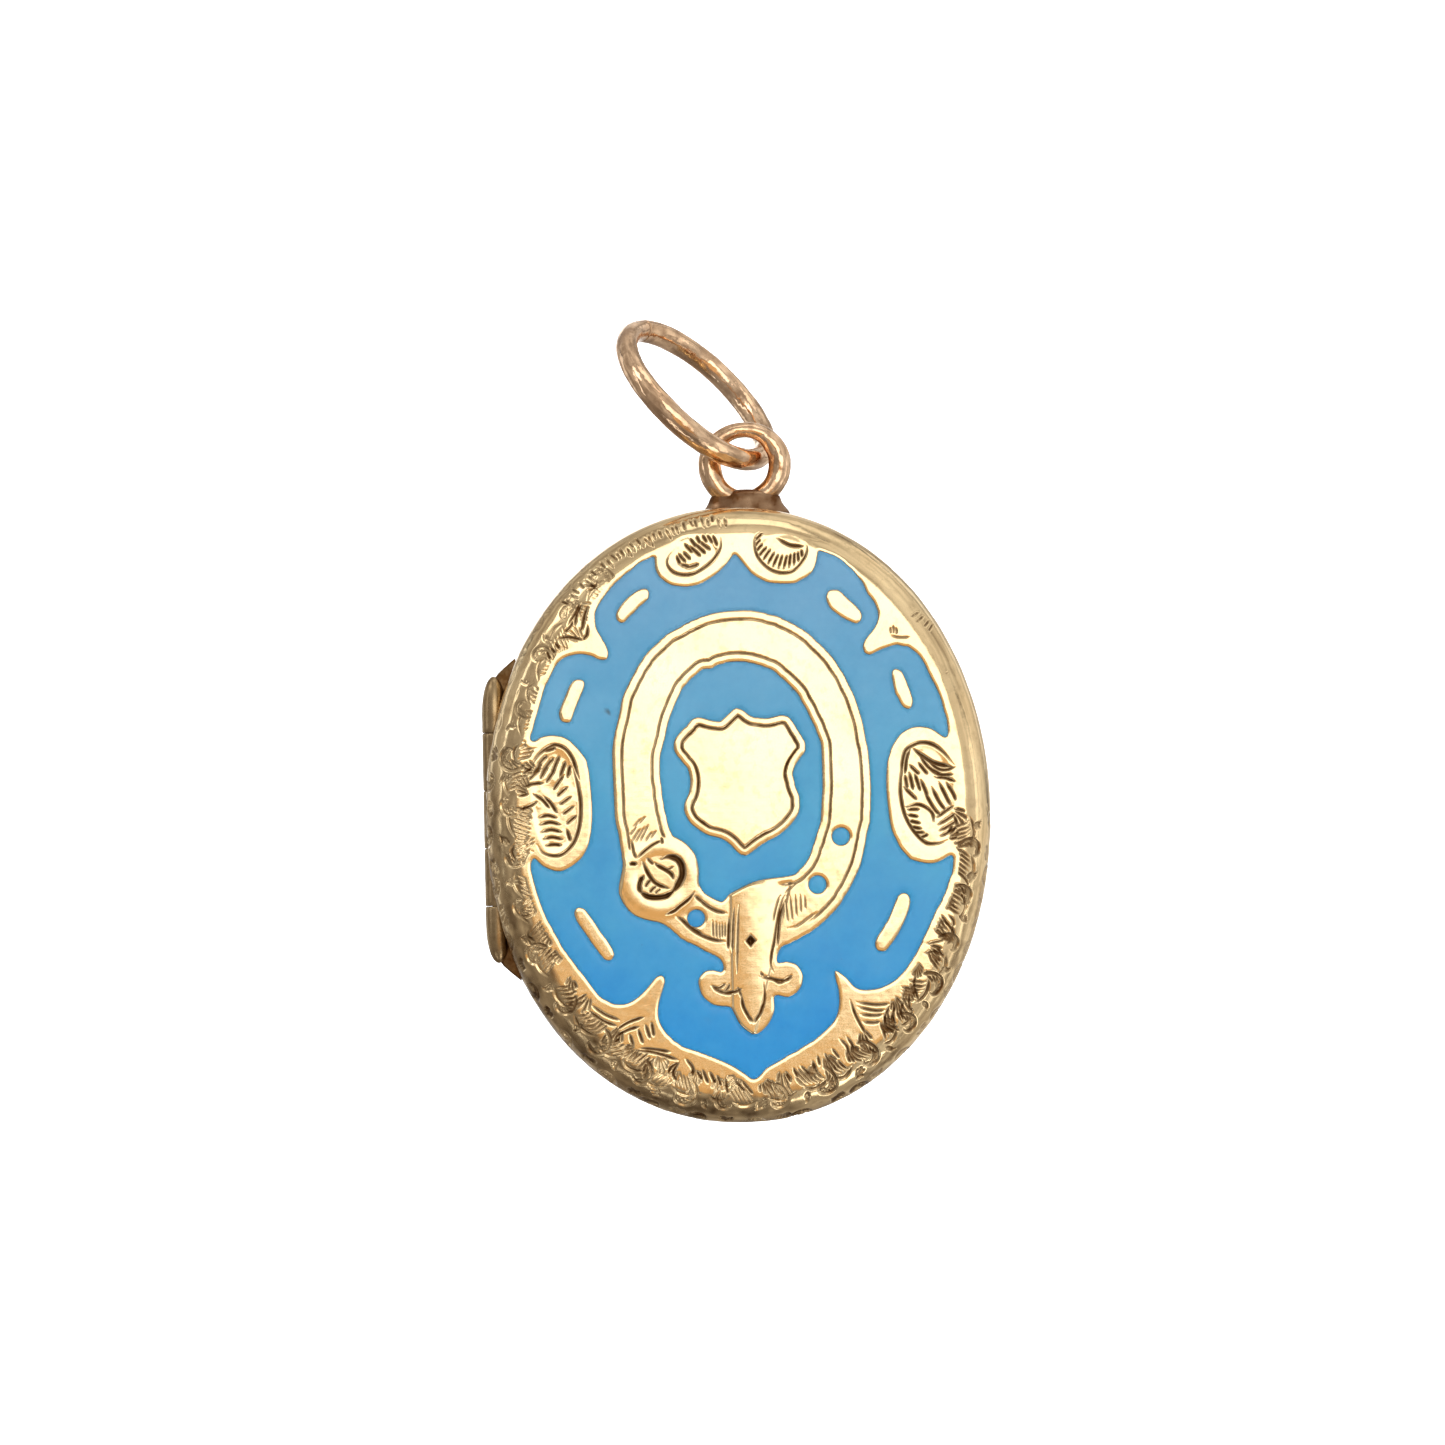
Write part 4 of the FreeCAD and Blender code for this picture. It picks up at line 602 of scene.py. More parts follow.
# ---------------------------------------------------------------- engraved border, laid out along the edge
def border(L, seed, theta_of, plain, ticks, calm, shade):
    """Height map over (distance round the case, distance up the profile): scrolls, leaves and hatching."""
    g = 0.025
    R = Raster(-0.5, L + 0.5, 0, 4.4, g)
    r = np.random.default_rng(seed)

    def scroll(cu, cw, rad, start, sweep, a):
        q = np.linspace(0, 1, 22)
        an, rr = start + sweep * q, rad * (1 - 0.72 * q ** 1.3)
        R.groove(np.stack([cu + rr * np.cos(an), cw + rr * np.sin(an)], 1), 0.22, 0.11 * a, (0.10, 0.25))
        n = r.integers(8, 11)
        for i in range(n):
            f = (i + 0.5) / n * 0.68
            an = start + sweep * f
            ro, ri = rad * (1 - 0.72 * f ** 1.3), rad * r.uniform(0.26, 0.44)
            k = np.linspace(0, 1, 5)
            rr = ro * 0.92 + (ri - ro * 0.92) * k
            aa = an + np.sign(sweep) * 0.55 * k ** 1.5
            R.groove(np.stack([cu + rr * np.cos(aa), cw + rr * np.sin(aa)], 1), r.uniform(0.14, 0.19), r.uniform(0.075, 0.10) * a, (0.35, 0.15))

    def leaf(u0, w0, direc, ln, bend, a, spread=0.5):
        n = r.integers(4, 7)
        for i in range(n):
            q = i / (n - 1) * 2 - 1
            k = np.linspace(0, 1, 6)
            an = direc + q * spread + bend * k
            l1 = ln * (1.1 - 0.35 * abs(q))
            R.groove(np.stack([u0 + 0.10 * q + np.cumsum(np.cos(an)) * l1 / 6, w0 + np.cumsum(np.sin(an)) * l1 / 6], 1), r.uniform(0.15, 0.21), r.uniform(0.075, 0.10) * a, (0.35, 0.2))

    u, k = 0.0, 0
    while u < L - 0.4:
        th = theta_of(u)
        a = 1 - plain(th)
        al = a * (1 - 0.7 * calm(th))                  # the outer part of the shoulder
        pitch = r.uniform(1.05, 1.30)
        if a > 0.2:
            up = k % 2 == 0
            sgn = 1 if up else -1
            cw = 1.42 + r.uniform(-0.08, 0.08) if up else 2.80 + r.uniform(-0.12, 0.12)
            st = (-math.pi / 2 if up else math.pi / 2) + r.uniform(-0.5, 0.5)
            turn = r.choice([-1, 1], p=[0.3, 0.7]) * sgn
            scroll(u, cw, r.uniform(0.60, 0.74), st, turn * r.uniform(4.2, 5.4), al if up else a)
            leaf(u + 0.05, 0.30 if up else 1.35, math.pi / 2 * r.choice([-1, 1]) + r.uniform(-0.7, 0.7), r.uniform(0.5, 0.7), r.uniform(-0.8, 0.8), al)
            leaf(u + 0.45 * pitch, 3.75 if up else 3.95, -math.pi / 2 + r.uniform(-0.7, 0.7), r.uniform(0.6, 0.9), r.uniform(-0.9, 0.9), a)
            leaf(u + 0.15, 2.25 if up else 2.0, math.pi / 2 * (1 if up else -1) + r.uniform(-0.9, 0.9), r.uniform(0.5, 0.8), r.uniform(-0.9, 0.9), a if up else al)
            for i in range(6):
                x, y = u + r.uniform(-0.6, 0.6), r.uniform(0.12, 1.15)
                an, ln = r.normal(0.2, 0.5), r.uniform(0.35, 0.95)
                R.groove([(x, y), (x + 0.5 * ln * math.cos(an), y + 0.5 * ln * math.sin(an) + 0.04), (x + ln * math.cos(an), y + ln * math.sin(an))], r.uniform(0.12, 0.20), r.uniform(0.05, 0.08) * al, (0.4, 0.25))
        if ticks(th) > 0.5:
            for i in range(int(pitch / 0.26)):
                x = u + 0.26 * i + r.uniform(-0.05, 0.05)
                y = r.uniform(1.9, 2.25)
                R.groove([(x, y), (x - 0.06 + r.uniform(-0.10, 0.10), y + r.uniform(0.45, 0.85))], r.uniform(0.13, 0.18), 0.085 * r.uniform(0.7, 1), (0.3, 0.2))
        u += pitch
        k += 1
    # groups of long slanting cuts, each under a stem, that edge the enamelled field
    u = 0.3
    while u < L - 1.8:
        a = 1 - plain(theta_of(u))
        n = r.integers(4, 7)
        lean = r.choice([-1, 1]) * r.uniform(0.45, 0.95)
        if a > 0.3:
            y0 = r.uniform(2.75, 3.05)
            for i in range(n):
                x, y = u + 0.21 * i, y0 + 0.05 * math.sin(i * 1.3)
                ln = r.uniform(0.75, 1.05) * (1 - 0.08 * abs(i - n / 2))
                R.groove([(x, y), (x + 0.42 * ln * lean, y + 0.45 * ln), (x + 0.62 * ln * lean + 0.1 * lean, y + 0.85 * ln)], r.uniform(0.14, 0.19), r.uniform(0.075, 0.095) * a, (0.45, 0.25))
            w_ = 0.21 * (n - 1)
            R.groove([(u - 0.15, y0 - 0.02), (u + 0.3 * w_, y0 - 0.20), (u + 0.75 * w_, y0 - 0.16), (u + w_ + 0.25, y0 + 0.06)], 0.20, 0.10 * a, (0.25, 0.35))
        u += 0.21 * n + r.uniform(0.30, 0.65)
    for _ in range(140):
        x, y = r.uniform(0, L), r.uniform(0.1, 2.7)
        an, ln = r.normal(0, 0.5), r.uniform(0.3, 1.4)
        R.groove([(x, y), (x + ln * math.cos(an), y + ln * math.sin(an) * 0.4)], 0.05, 0.008)
    U = (R.x0 + np.arange(R.nx) * g)[None, :]
    W = (R.y0 + np.arange(R.ny) * g)[:, None]
    us = np.arange(R.nx)
    fr = np.array([1 - plain(theta_of(max(0.0, R.x0 + i * g))) * 0.8 for i in us[::20]])
    fr = np.interp(us, us[::20], fr)[None, :]
    R.sway = ((0.012 * noise2(U + 0 * W, W + 0 * U, seed + 50, 0.9) + 0.006 * noise2(U + 0 * W, W + 0 * U, seed + 51, 0.35)) * (0.4 + 0.6 * fr)).astype(np.float32)
    m = noise2(U / 2.2 + 0 * W, W + 0 * U, seed + 60, 0.42) + 0.6 * noise2(U / 1.6 + 0 * W, W + 0 * U, seed + 61, 0.17)
    sh = np.array([shade(theta_of(max(0.0, R.x0 + i * g))) for i in us[::20]])
    sh = np.interp(us, us[::20], sh)[None, :]
    # painted shade: a dark mottled ground on the side that the shade function picks, merged into the mottle
    painted_shade_ground = sh * (0.42 + 0.34 * m) * (1 - smooth(W, 3.0, 3.5))
    R.mott = np.maximum(np.clip(m - 0.15, 0, 1) * 0.5 * fr * (1 - smooth(W, 2.4, 3.2)), painted_shade_ground).astype(np.float32)
    # painted highlight: inside the painted shade the cuts are left light on the dark ground, as cut facets catching
    # light
    R.neg = (sh * smooth(noise2(U / 1.4 + 0 * W, W / 1.2 + 0 * U, seed + 70, 0.9), -0.5, 0.3) + 0 * W).astype(np.float32)
    return R


def shell_surface(M, nr, plan, plan_tar, R, amp_border, dome, top, is_front=True):
    """Outer skin of a cover, parting edge to middle, as rings of points.  Returns rings, and per ring the darkening:
    patina with painted shade.
    """
    P, N, s, L = case_outline(M)
    th = np.arctan2(P[:, 1], P[:, 0])
    rings, tar_shades = [], []
    inset = INSET
    edge_t = top - dome

    def put(x, y, t, tar_shade):
        y0 = np.abs(y)
        lim = HINGE_X + np.sqrt(np.clip(0.60 ** 2 - t ** 2, 0, None))
        x = np.where((y0 < 6.48) & (t < 0.6), np.maximum(x, lim), x)
        x = np.maximum(x, HINGE_X - LEAN * t + 0.012)
        rings.append(np.stack([x, y, t + 0 * x], 1))
        tar_shades.append(tar_shade + 0 * x)

    # side wall
    for t, off in ((0.03, 0.05), (0.045, 0.02), (0.07, 0.0)):
        put(P[:, 0] - off * N[:, 0], P[:, 1] - off * N[:, 1], np.full(M, t), 0.35)
    dt = 0.045
    for t in np.arange(0.07 + dt, SIDE_T - 1e-6, dt):
        b = R.sample(R.h, s, np.full(M, t)) * amp_border
        b2 = b + np.clip(0.010 + R.sample(R.sway, s, np.full(M, t)), 0, None) * float(smooth(t, 0.1, 0.4))
        put(P[:, 0] - b2 * N[:, 0], P[:, 1] - b2 * N[:, 1], np.full(M, t), np.maximum(np.clip(b / 0.05, 0, 1) * 0.85 + 0.08, R.sample(R.mott, s, np.full(M, t))))
    # shoulder
    ns = 66
    w = SIDE_T
    last = None
    Fx = P[:, 0] - inset * N[:, 0]
    Fy = P[:, 1] - inset * N[:, 1]
    for i in range(ns):
        a = math.pi / 2 * i / ns
        off, t = inset * (1 - math.cos(a)), SIDE_T + (edge_t - SIDE_T) * math.sin(a)
        if last is not None:
            w += math.hypot(off - last[0], t - last[1])
        last = (off, t)
        nx, nt = math.cos(a) / inset, math.sin(a) / (edge_t - SIDE_T)
        nl = np.hypot(nx, nt)
        nx, nt = nx / nl, nt / nl
        x, y = P[:, 0] - off * N[:, 0], P[:, 1] - off * N[:, 1]
        b = R.sample(R.h, s, np.full(M, w)) * amp_border
        k = float(smooth(a, math.radians(50), math.radians(72)))
        c_ = np.clip(b / 0.05, 0, 1)
        # groove patina, mottle and painted shade; where the painted shade lies the cuts stay light
        mo, ng = R.sample(R.mott, s, np.full(M, w)), R.sample(R.neg, s, np.full(M, w))
        tar_shade = (1 - ng) * np.maximum(0.9 * c_, mo) + ng * mo * (1 - 0.85 * c_)
        sway = -np.clip(0.010 + R.sample(R.sway, s, np.full(M, w)), 0, None)
        h = -b * (1 - k) + sway * float(1 - smooth(a, math.radians(70), math.radians(88)))
        if plan is not None:
            h = h + k * face.sample(plan, x, y)
            tar_shade = tar_shade * (1 - k) + k * face.sample(plan_tar, x, y)
            # the border cuts run on over the rounded edge
            free = smooth(face.sample(sd_enamel, x, y), 0.22, 0.34) if is_front else 1.0
            b = b * free
            h = h - k * b * 0.9
            tar_shade = np.maximum(tar_shade, k * (np.clip(b / 0.05, 0, 1) * 0.9 * (1 - ng) + mo * (1 - np.clip(b / 0.05, 0, 1)) * free))
        put(x + nx * h * N[:, 0], y + nx * h * N[:, 1], t + nt * h, tar_shade)
    # face
    rr, levels = 1.0, []
    step = (1 / nr)
    m = M
    k = 0
    idx = np.arange(M)
    while rr > 0.012:
        levels.append((rr, m))
        rr -= step
        if rr < 0.5 * m / M and m > 64:
            m //= 2
    for rr, m in levels:
        sel = np.arange(m) * (M // m)
        x, y = Fx[sel] * rr, Fy[sel] * rr
        t = edge_t + dome * (1 - rr ** 2)
        if plan is not None:
            h = face.sample(plan, x, y)
            tar_shade = face.sample(plan_tar, x, y)
            if rr > 0.88:
                b = R.sample(R.h, s[sel], np.full(m, w + (1 - rr) * 11.0)) * amp_border
                fade = smooth(rr, 0.88, 0.93) * (smooth(face.sample(sd_enamel, x, y), 0.28, 0.40) if is_front else 1.0)
                h = h - 0.9 * b * fade
                cc, ww = np.clip(b / 0.05, 0, 1), np.full(m, w + (1 - rr) * 11.0)
                ng = R.sample(R.neg, s[sel], ww)
                tar_shade = np.maximum(tar_shade, fade * 0.9 * cc * (1 - 0.8 * ng))
        else:
            h, tar_shade = 0 * x, 0 * x
        rings.append(np.stack([x, y, t + h], 1))
        tar_shades.append(tar_shade)
    x = np.array([0.0])
    rings.append(np.array([[0.0, 0.0, edge_t + dome + (float(face.sample(plan, x, x)[0]) if plan is not None else 0)]]))
    tar_shades.append(np.array([0.0]))
    return rings, tar_shades, P, N


def inner_skin(P, N, M):
    """Inside of the shell, from the parting edge to the middle of the ceiling."""
    m = M
    rings = []
    for off, t in ((0.43, 0.03), (0.45, 0.05), (0.45, 0.5), (0.45, SIDE_T), (0.60, 1.45), (0.75, 1.85)):
        rings.append(np.stack([np.maximum(P[:, 0] - off * N[:, 0], -9.65 + 0.1 * (t < 0.04)), P[:, 1] - off * N[:, 1], np.full(m, t)], 1))
    base = rings[-1]
    for q in (0.66, 0.33):
        sel = np.arange(0, m, 1)
        rings.append(np.stack([base[sel, 0] * q, base[sel, 1] * q, np.full(m, 1.85)], 1))
    rings.append(np.array([[0.0, 0.0, 1.85]]))
    return rings


_P, _N, _s, _L = case_outline(900)
edge_dist = face.distance(_P, 1.6)


def face_base(x, y):
    """Surface of the standing gold, without relief."""
    fx, fy = HALF_W - INSET, HALF_H - INSET
    r2 = np.clip((np.abs(x / fx) ** 2.07 + np.abs(y / fy) ** 2.07) ** (2 / 2.07), 0, 1)
    flat = EDGE_T + DOME * (1 - r2)
    off = np.clip(face.sample(edge_dist, x, y), 0, INSET)
    bent = SIDE_T + (EDGE_T - SIDE_T) * np.sqrt(np.clip(1 - (1 - off / INSET) ** 2, 0, 1))
    return np.where(off < INSET, bent, flat)


def theta_map(M=4096):
    P, N, s, L = case_outline(M)
    th = np.degrees(np.arctan2(P[:, 1], P[:, 0]))
    return (lambda u: float(np.interp(u % L, s, np.unwrap(th, period=360))) % 360), L


theta_of, LEN = theta_map()


def front_plain(a):          # the upper right of the border is left almost plain
    d = abs((a - 42 + 180) % 360 - 180)
    return float(1 - smooth(d, 34, 48)) * 0.90


def front_ticks(a):
    return 1.0 if 92 < a < 128 or 40 < a < 46 else 0.0


def front_busy(a):
    top = 0.93 * float(smooth(a, -2, 0) * (1 - smooth(a, 117, 122)))
    left = 0.62 * float(smooth(a, 112, 118) * (1 - smooth(a, 158, 168)))
    return max(front_plain(a), top, left)


M = 2304
NR = 290


def front_calm(a):
    d = abs((a + 22 + 180) % 360 - 180)
    return max(float(1 - smooth(d, 38, 50)), float(smooth(a, 108, 114) * (1 - smooth(a, 158, 168))))


def front_shade(a):          # painted shade: the lower left of the border is darkened as if turned from the light
    d = abs((a - 225 + 180) % 360 - 180)
    return float(1 - smooth(d, 42, 66))


Rf = border(LEN, 5, theta_of, front_busy, front_ticks, front_calm, front_shade)
ringsF, tarsF, P_, N_ = shell_surface(M, NR, height, tarnish_and_shade, Rf, 1.0, DOME, TOP_F)


def shell_object(name, rings, tar_shades, P, N, mirror):
    inner = inner_skin(P, N, M)
    outer_counts = [len(r) for r in rings]
    inner_counts = [len(r) for r in inner]
    V = np.vstack(rings + inner)
    tar_shade = np.concatenate(tar_shades + [np.full(len(r), 0.5) for r in inner])
    n0 = sum(outer_counts)
    faces = stitch(outer_counts)
    fin = stitch(inner_counts, first=n0)
    faces += [f[::-1] for f in fin]
    i = np.arange(M)
    j = (i + 1) % M
    faces += np.stack([j, i, n0 + i, n0 + j], 1).tolist()
    if mirror:
        V = V * np.array([1, 1, -1])
    return mesh_object(name, V, faces, {"tarnish_and_shade": tar_shade})


front = shell_object("front_cover_engraved", ringsF, tarsF, P_, N_, False)
# the back's border takes the same painted shade on the lower left
Rb = border(LEN, 9, lambda u: theta_of(u), lambda a: 0.93 * float(smooth(a, 82, 88) * (1 - smooth(a, 96, 102))), lambda a: 0.0, lambda a: 0.0, front_shade)

# plain back: a fine double line round the edge, light wear
back = Raster(-11.4, 11.4, -13.9, 13.9, G)
rho = (np.abs(GX / 9.35) ** 2.07 + np.abs(GY / 11.75) ** 2.07) ** (1 / 2.07)
v = np.maximum(np.clip(1 - np.abs(rho - 0.985) * 10 / 0.07, 0, 1) * 0.05, np.clip(1 - np.abs(rho - 0.955) * 10 / 0.05, 0, 1) * 0.03)
back.h = np.maximum(back.h, v.astype(np.float32))
_r = np.random.default_rng(21)
for _ in range(90):
    x, y = _r.uniform(-8, 8), _r.uniform(-10, 10)
    an, ln = _r.uniform(0, 6.28), _r.uniform(0.4, 2.6)
    back.groove([(x, y), (x + 0.5 * ln * math.cos(an), y + 0.5 * ln * math.sin(an)), (x + ln * math.cos(an + 0.2), y + ln * math.sin(an + 0.2))], 0.05, 0.004)
back_height = (-back.h + 0.010 * noise2(GX + 0 * GY, GY + 0 * GX, 31, 2.6) + 0.004 * noise2(GX + 0 * GY, GY + 0 * GX, 32, 0.8)).astype(np.float32)
back_tar = np.clip(back.h / 0.04, 0, 1).astype(np.float32)
ringsB, tarsB, P2, N2 = shell_surface(M, 190, back_height, back_tar, Rb, 1.0, 0.06, FACE_T - 0.016, False)
rear = shell_object("back_cover_engraved", ringsB, tarsB, P2, N2, True)


# ---------------------------------------------------------------- enamel
def enamel_piece(name, sd, outlines, grow, spacing):
    """A separate inlay: triangulated top, walls, flat bottom."""
    pts, edges = [], []
    for ring, sign in outlines:
        P = np.asarray(ring, float)
        # resample evenly
        L = np.concatenate([[0], np.cumsum(np.hypot(*(np.roll(P, -1, 0) - P).T))])
        n = max(16, int(L[-1] / (0.06)))
        s = np.linspace(0, L[-1], n, endpoint=False)
        P = np.stack([np.interp(s, L, np.append(P[:, c], P[0, c])) for c in (0, 1)], 1)
        T = np.roll(P, -1, 0) - np.roll(P, 1, 0)
        N = np.stack([T[:, 1], -T[:, 0]], 1)
        N /= np.hypot(*N.T)[:, None]
        area = 0.5 * np.sum(P[:, 0] * np.roll(P[:, 1], -1) - np.roll(P[:, 0], -1) * P[:, 1])
        N *= np.sign(area)
        P = P + N * grow * sign
        b = len(pts)
        pts += P.tolist()
        edges += [(b + i, b + (i + 1) % n) for i in range(n)]
    nb = len(pts)
    hx = np.arange(-10.2, 10.2, spacing)
    hy = np.arange(-12.6, 12.6, spacing * 0.866)
    X, Y = np.meshgrid(hx, hy)
    X = X + (np.arange(len(hy)) % 2)[:, None] * spacing / 2
    X, Y = X.ravel(), Y.ravel()
    d = face.sample(sd, X, Y)
    keep = d < -0.09
    # thin out away from the edges, where nothing happens
    coarse = ((np.round(X / spacing).astype(int) % 2 == 0) & (np.round(Y / (spacing * 0.866)).astype(int) % 2 == 0))
    keep &= (d > -0.35) | coarse
    pts += np.stack([X[keep], Y[keep]], 1).tolist()
    V, E, F, *_ = delaunay_2d_cdt([Vector(p) for p in pts], edges, [], 0, 1e-6)
    V = np.array([(v.x, v.y) for v in V])
    F = np.array([f for f in F if len(f) == 3])
    c = V[F].mean(1)
    dc = face.sample(sd, c[:, 0], c[:, 1])
    F = F[dc < grow * 0.6]
    a = (V[F[:, 1], 0] - V[F[:, 0], 0]) * (V[F[:, 2], 1] - V[F[:, 0], 1]) - (V[F[:, 2], 0] - V[F[:, 0], 0]) * (V[F[:, 1], 1] - V[F[:, 0], 1])
    F = F[np.abs(a) > 1e-9]
    a = a[np.abs(a) > 1e-9]
    F[a < 0] = F[a < 0][:, ::-1]
    used = np.unique(F)
    remap = -np.ones(len(V), int); remap[used] = np.arange(len(used))
    V, F = V[used], remap[F]
    x, y = V[:, 0], V[:, 1]
    d = face.sample(sd, x, y)
    wave = 0.006 * noise2(x, y, 41, 1.7) + 0.003 * noise2(x, y, 42, 0.6)
    t = face_base(x, y) - 0.028 + 0.012 * smooth(-d, -0.02, 0.30) + wave
    pit = np.zeros(len(x))
    for px, py, pr in PITS:
        pit = np.maximum(pit, 1 - smooth(np.hypot(x - px, y - py), 0.3 * pr, pr))
    t = t - 0.03 * pit
    top = np.stack([x, y, t], 1)
    n = len(top)
    bottom = np.stack([x, y, np.full(n, 2.26)], 1)
    e = {}
    for f in F:
        for p, q in ((f[0], f[1]), (f[1], f[2]), (f[2], f[0])):
            if (q, p) in e:
                del e[(q, p)]
            else:
                e[(p, q)] = 1
    rim_pts = sorted({p for k in e for p in k})
    faces = F.tolist() + (F[:, ::-1] + n).tolist()
    faces += [[q, p, p + n, q + n] for p, q in e]
    o = mesh_object(name, np.vstack([top, bottom]), faces, {"pit": np.concatenate([pit, pit])})
    return o


PITS = [(-5.7, 4.55, 0.07), (7.35, 4.9, 0.10), (-5.0, -4.1, 0.05), (2.4, 5.4, 0.05), (-1.6, -9.0, 0.05), (4.9, -5.2, 0.045), (-2.2, 9.0, 0.045), (0.9, -2.4, 0.04), (-7.6, -3.0, 0.05), (5.7, 8.2, 0.05)]
holes_rings = []
for hx, hy, hr in HOLES:
    q = np.linspace(0, 2 * np.pi, 48, endpoint=False)
    holes_rings.append((np.stack([hx + hr * np.cos(q), hy + hr * np.sin(q)], 1), 1))
SP = 0.12
e_field = enamel_piece("enamel_field_inlay", sd_main, [(FIELD_S, 1), (OUT_S, -1)] + [(d, -1) for d in DASH_S], 0.03, SP)
e_centre = enamel_piece("enamel_centre_inlay", sd_centre, [(IN_S, 1), (SH_S, -1)], 0.03, SP)
e_holes = enamel_piece("enamel_holes_inlay", sd_holes, holes_rings, 0.025, 0.06)


# ---------------------------------------------------------------- swept oval rings: bezels
def oval_ring(name, a, b, profile, n=320, mirror=False):
    """profile: closed list of (inset from the oval, t)."""
    n = n
    th = np.linspace(0, 2 * np.pi, n, endpoint=False)
    P = np.stack([a * np.cos(th), b * np.sin(th)], 1)
    N = np.stack([b * np.cos(th), a * np.sin(th)], 1)
    N /= np.hypot(*N.T)[:, None]
    k = len(profile)
    V = np.array([[(P[i, 0] - o * N[i, 0], P[i, 1] - o * N[i, 1], t) for o, t in profile] for i in range(n)]).reshape(-1, 3)
    i = np.arange(n)[:, None]
    j = np.arange(k)[None, :]
    q = lambda i, j: (i % n) * k + (j % k)
    faces = np.stack([q(i, j), q(i + 1, j), q(i + 1, j + 1), q(i, j + 1)], -1).reshape(-1, 4).tolist()
    if mirror:
        V = V * np.array([1, 1, -1])
    return mesh_object(name, V, faces, {"tarnish_and_shade": np.full(len(V), 0.12)})


def rounded(points, r, n=4):
    """Rounds the corners of a closed profile."""
    P = np.asarray(points, float)
    out = []
    for k in range(len(P)):
        p, a, b = P[k], P[k - 1], P[(k + 1) % len(P)]
        u, v = (a - p) / np.linalg.norm(a - p), (b - p) / np.linalg.norm(b - p)
        rr = min(r, 0.45 * np.linalg.norm(a - p), 0.45 * np.linalg.norm(b - p))
        for t in np.linspace(0, 1, n + 1):
            out.append(tuple((1 - t) ** 2 * (p + u * rr) + 2 * t * (1 - t) * p + t * t * (p + v * rr)))
    return out


bez = [(0.0, 0.74), (0.0, 0.13), (0.06, 0.10), (0.60, 0.10), (0.86, 0.17), (0.92, 0.25), (0.92, 0.40), (0.50, 0.40), (0.50, 0.74)]
bezel_f = oval_ring("front_bezel_ring", 9.27, 11.72, rounded(bez, 0.05))
bezel_b = oval_ring("back_bezel_ring", 9.27, 11.72, rounded(bez, 0.05), mirror=True)


def cushion(name, a, b, t0, t1, n=256, mirror=False, soft=0.04):
    """A thin oval plate with rounded edges: crystal or card."""
    n = n
    th = np.linspace(0, 2 * np.pi, n, endpoint=False)
    prof = [(0.0, t0), (0.4, t0), (0.8, t0), (1 - 1.2 * soft / a, t0), (1 - 0.3 * soft / a, t0 + 0.3 * soft), (1, t0 + soft), (1, t1 - soft),
            (1 - 0.3 * soft / a, t1 - 0.3 * soft), (1 - 1.2 * soft / a, t1), (0.8, t1), (0.4, t1), (0.0, t1)]
    V, counts = [], []
    V.append([[0, 0, t0]])
    for q, t in prof[1:-1]:
        V.append(np.stack([a * q * np.cos(th), b * q * np.sin(th), np.full(n, t)], 1))
    V.append([[0, 0, t1]])
    counts = [len(v) for v in V]
    faces = []
    i = np.arange(n); j = (i + 1) % n
    faces += np.stack([np.zeros(n, int), 1 + j, 1 + i], 1).tolist()
    faces += stitch(counts[1:], first=1)
    V = np.vstack(V)
    if mirror:
        V = V * np.array([1, 1, -1])
    return mesh_object(name, V, faces)


glass_f = cushion("front_crystal", 8.74, 11.19, 0.40, 0.74)
glass_b = cushion("back_crystal", 8.74, 11.19, 0.40, 0.74, mirror=True)
card_f = cushion("front_card", 8.74, 11.19, 0.742, 0.858, soft=0.02)
card_b = cushion("back_card", 8.74, 11.19, 0.742, 0.858, mirror=True, soft=0.02)


# ---------------------------------------------------------------- hinge
def turned(profile, cx, ct, seg):
    """profile: (y, r) round an axis along y."""
    th = np.linspace(0, 2 * np.pi, seg, endpoint=False)
    V, counts = [], []
    for y, r in profile:
        if r == 0:
            V.append([[cx, y, ct]])
        else:
            V.append(np.stack([cx + r * np.cos(th), np.full(seg, y), ct + r * np.sin(th)], 1))
    return V, [len(v) for v in V]


def oriented(V, F):
    """Faces turned so that the closed surface encloses a positive volume."""
    V = np.asarray(V, float)
    vol = 0.0
    for f in F:
        for q in range(1, len(f) - 1):
            vol += V[f[0]] @ np.cross(V[f[q]], V[f[q + 1]])
    return F if vol > 0 else [list(f)[::-1] for f in F]


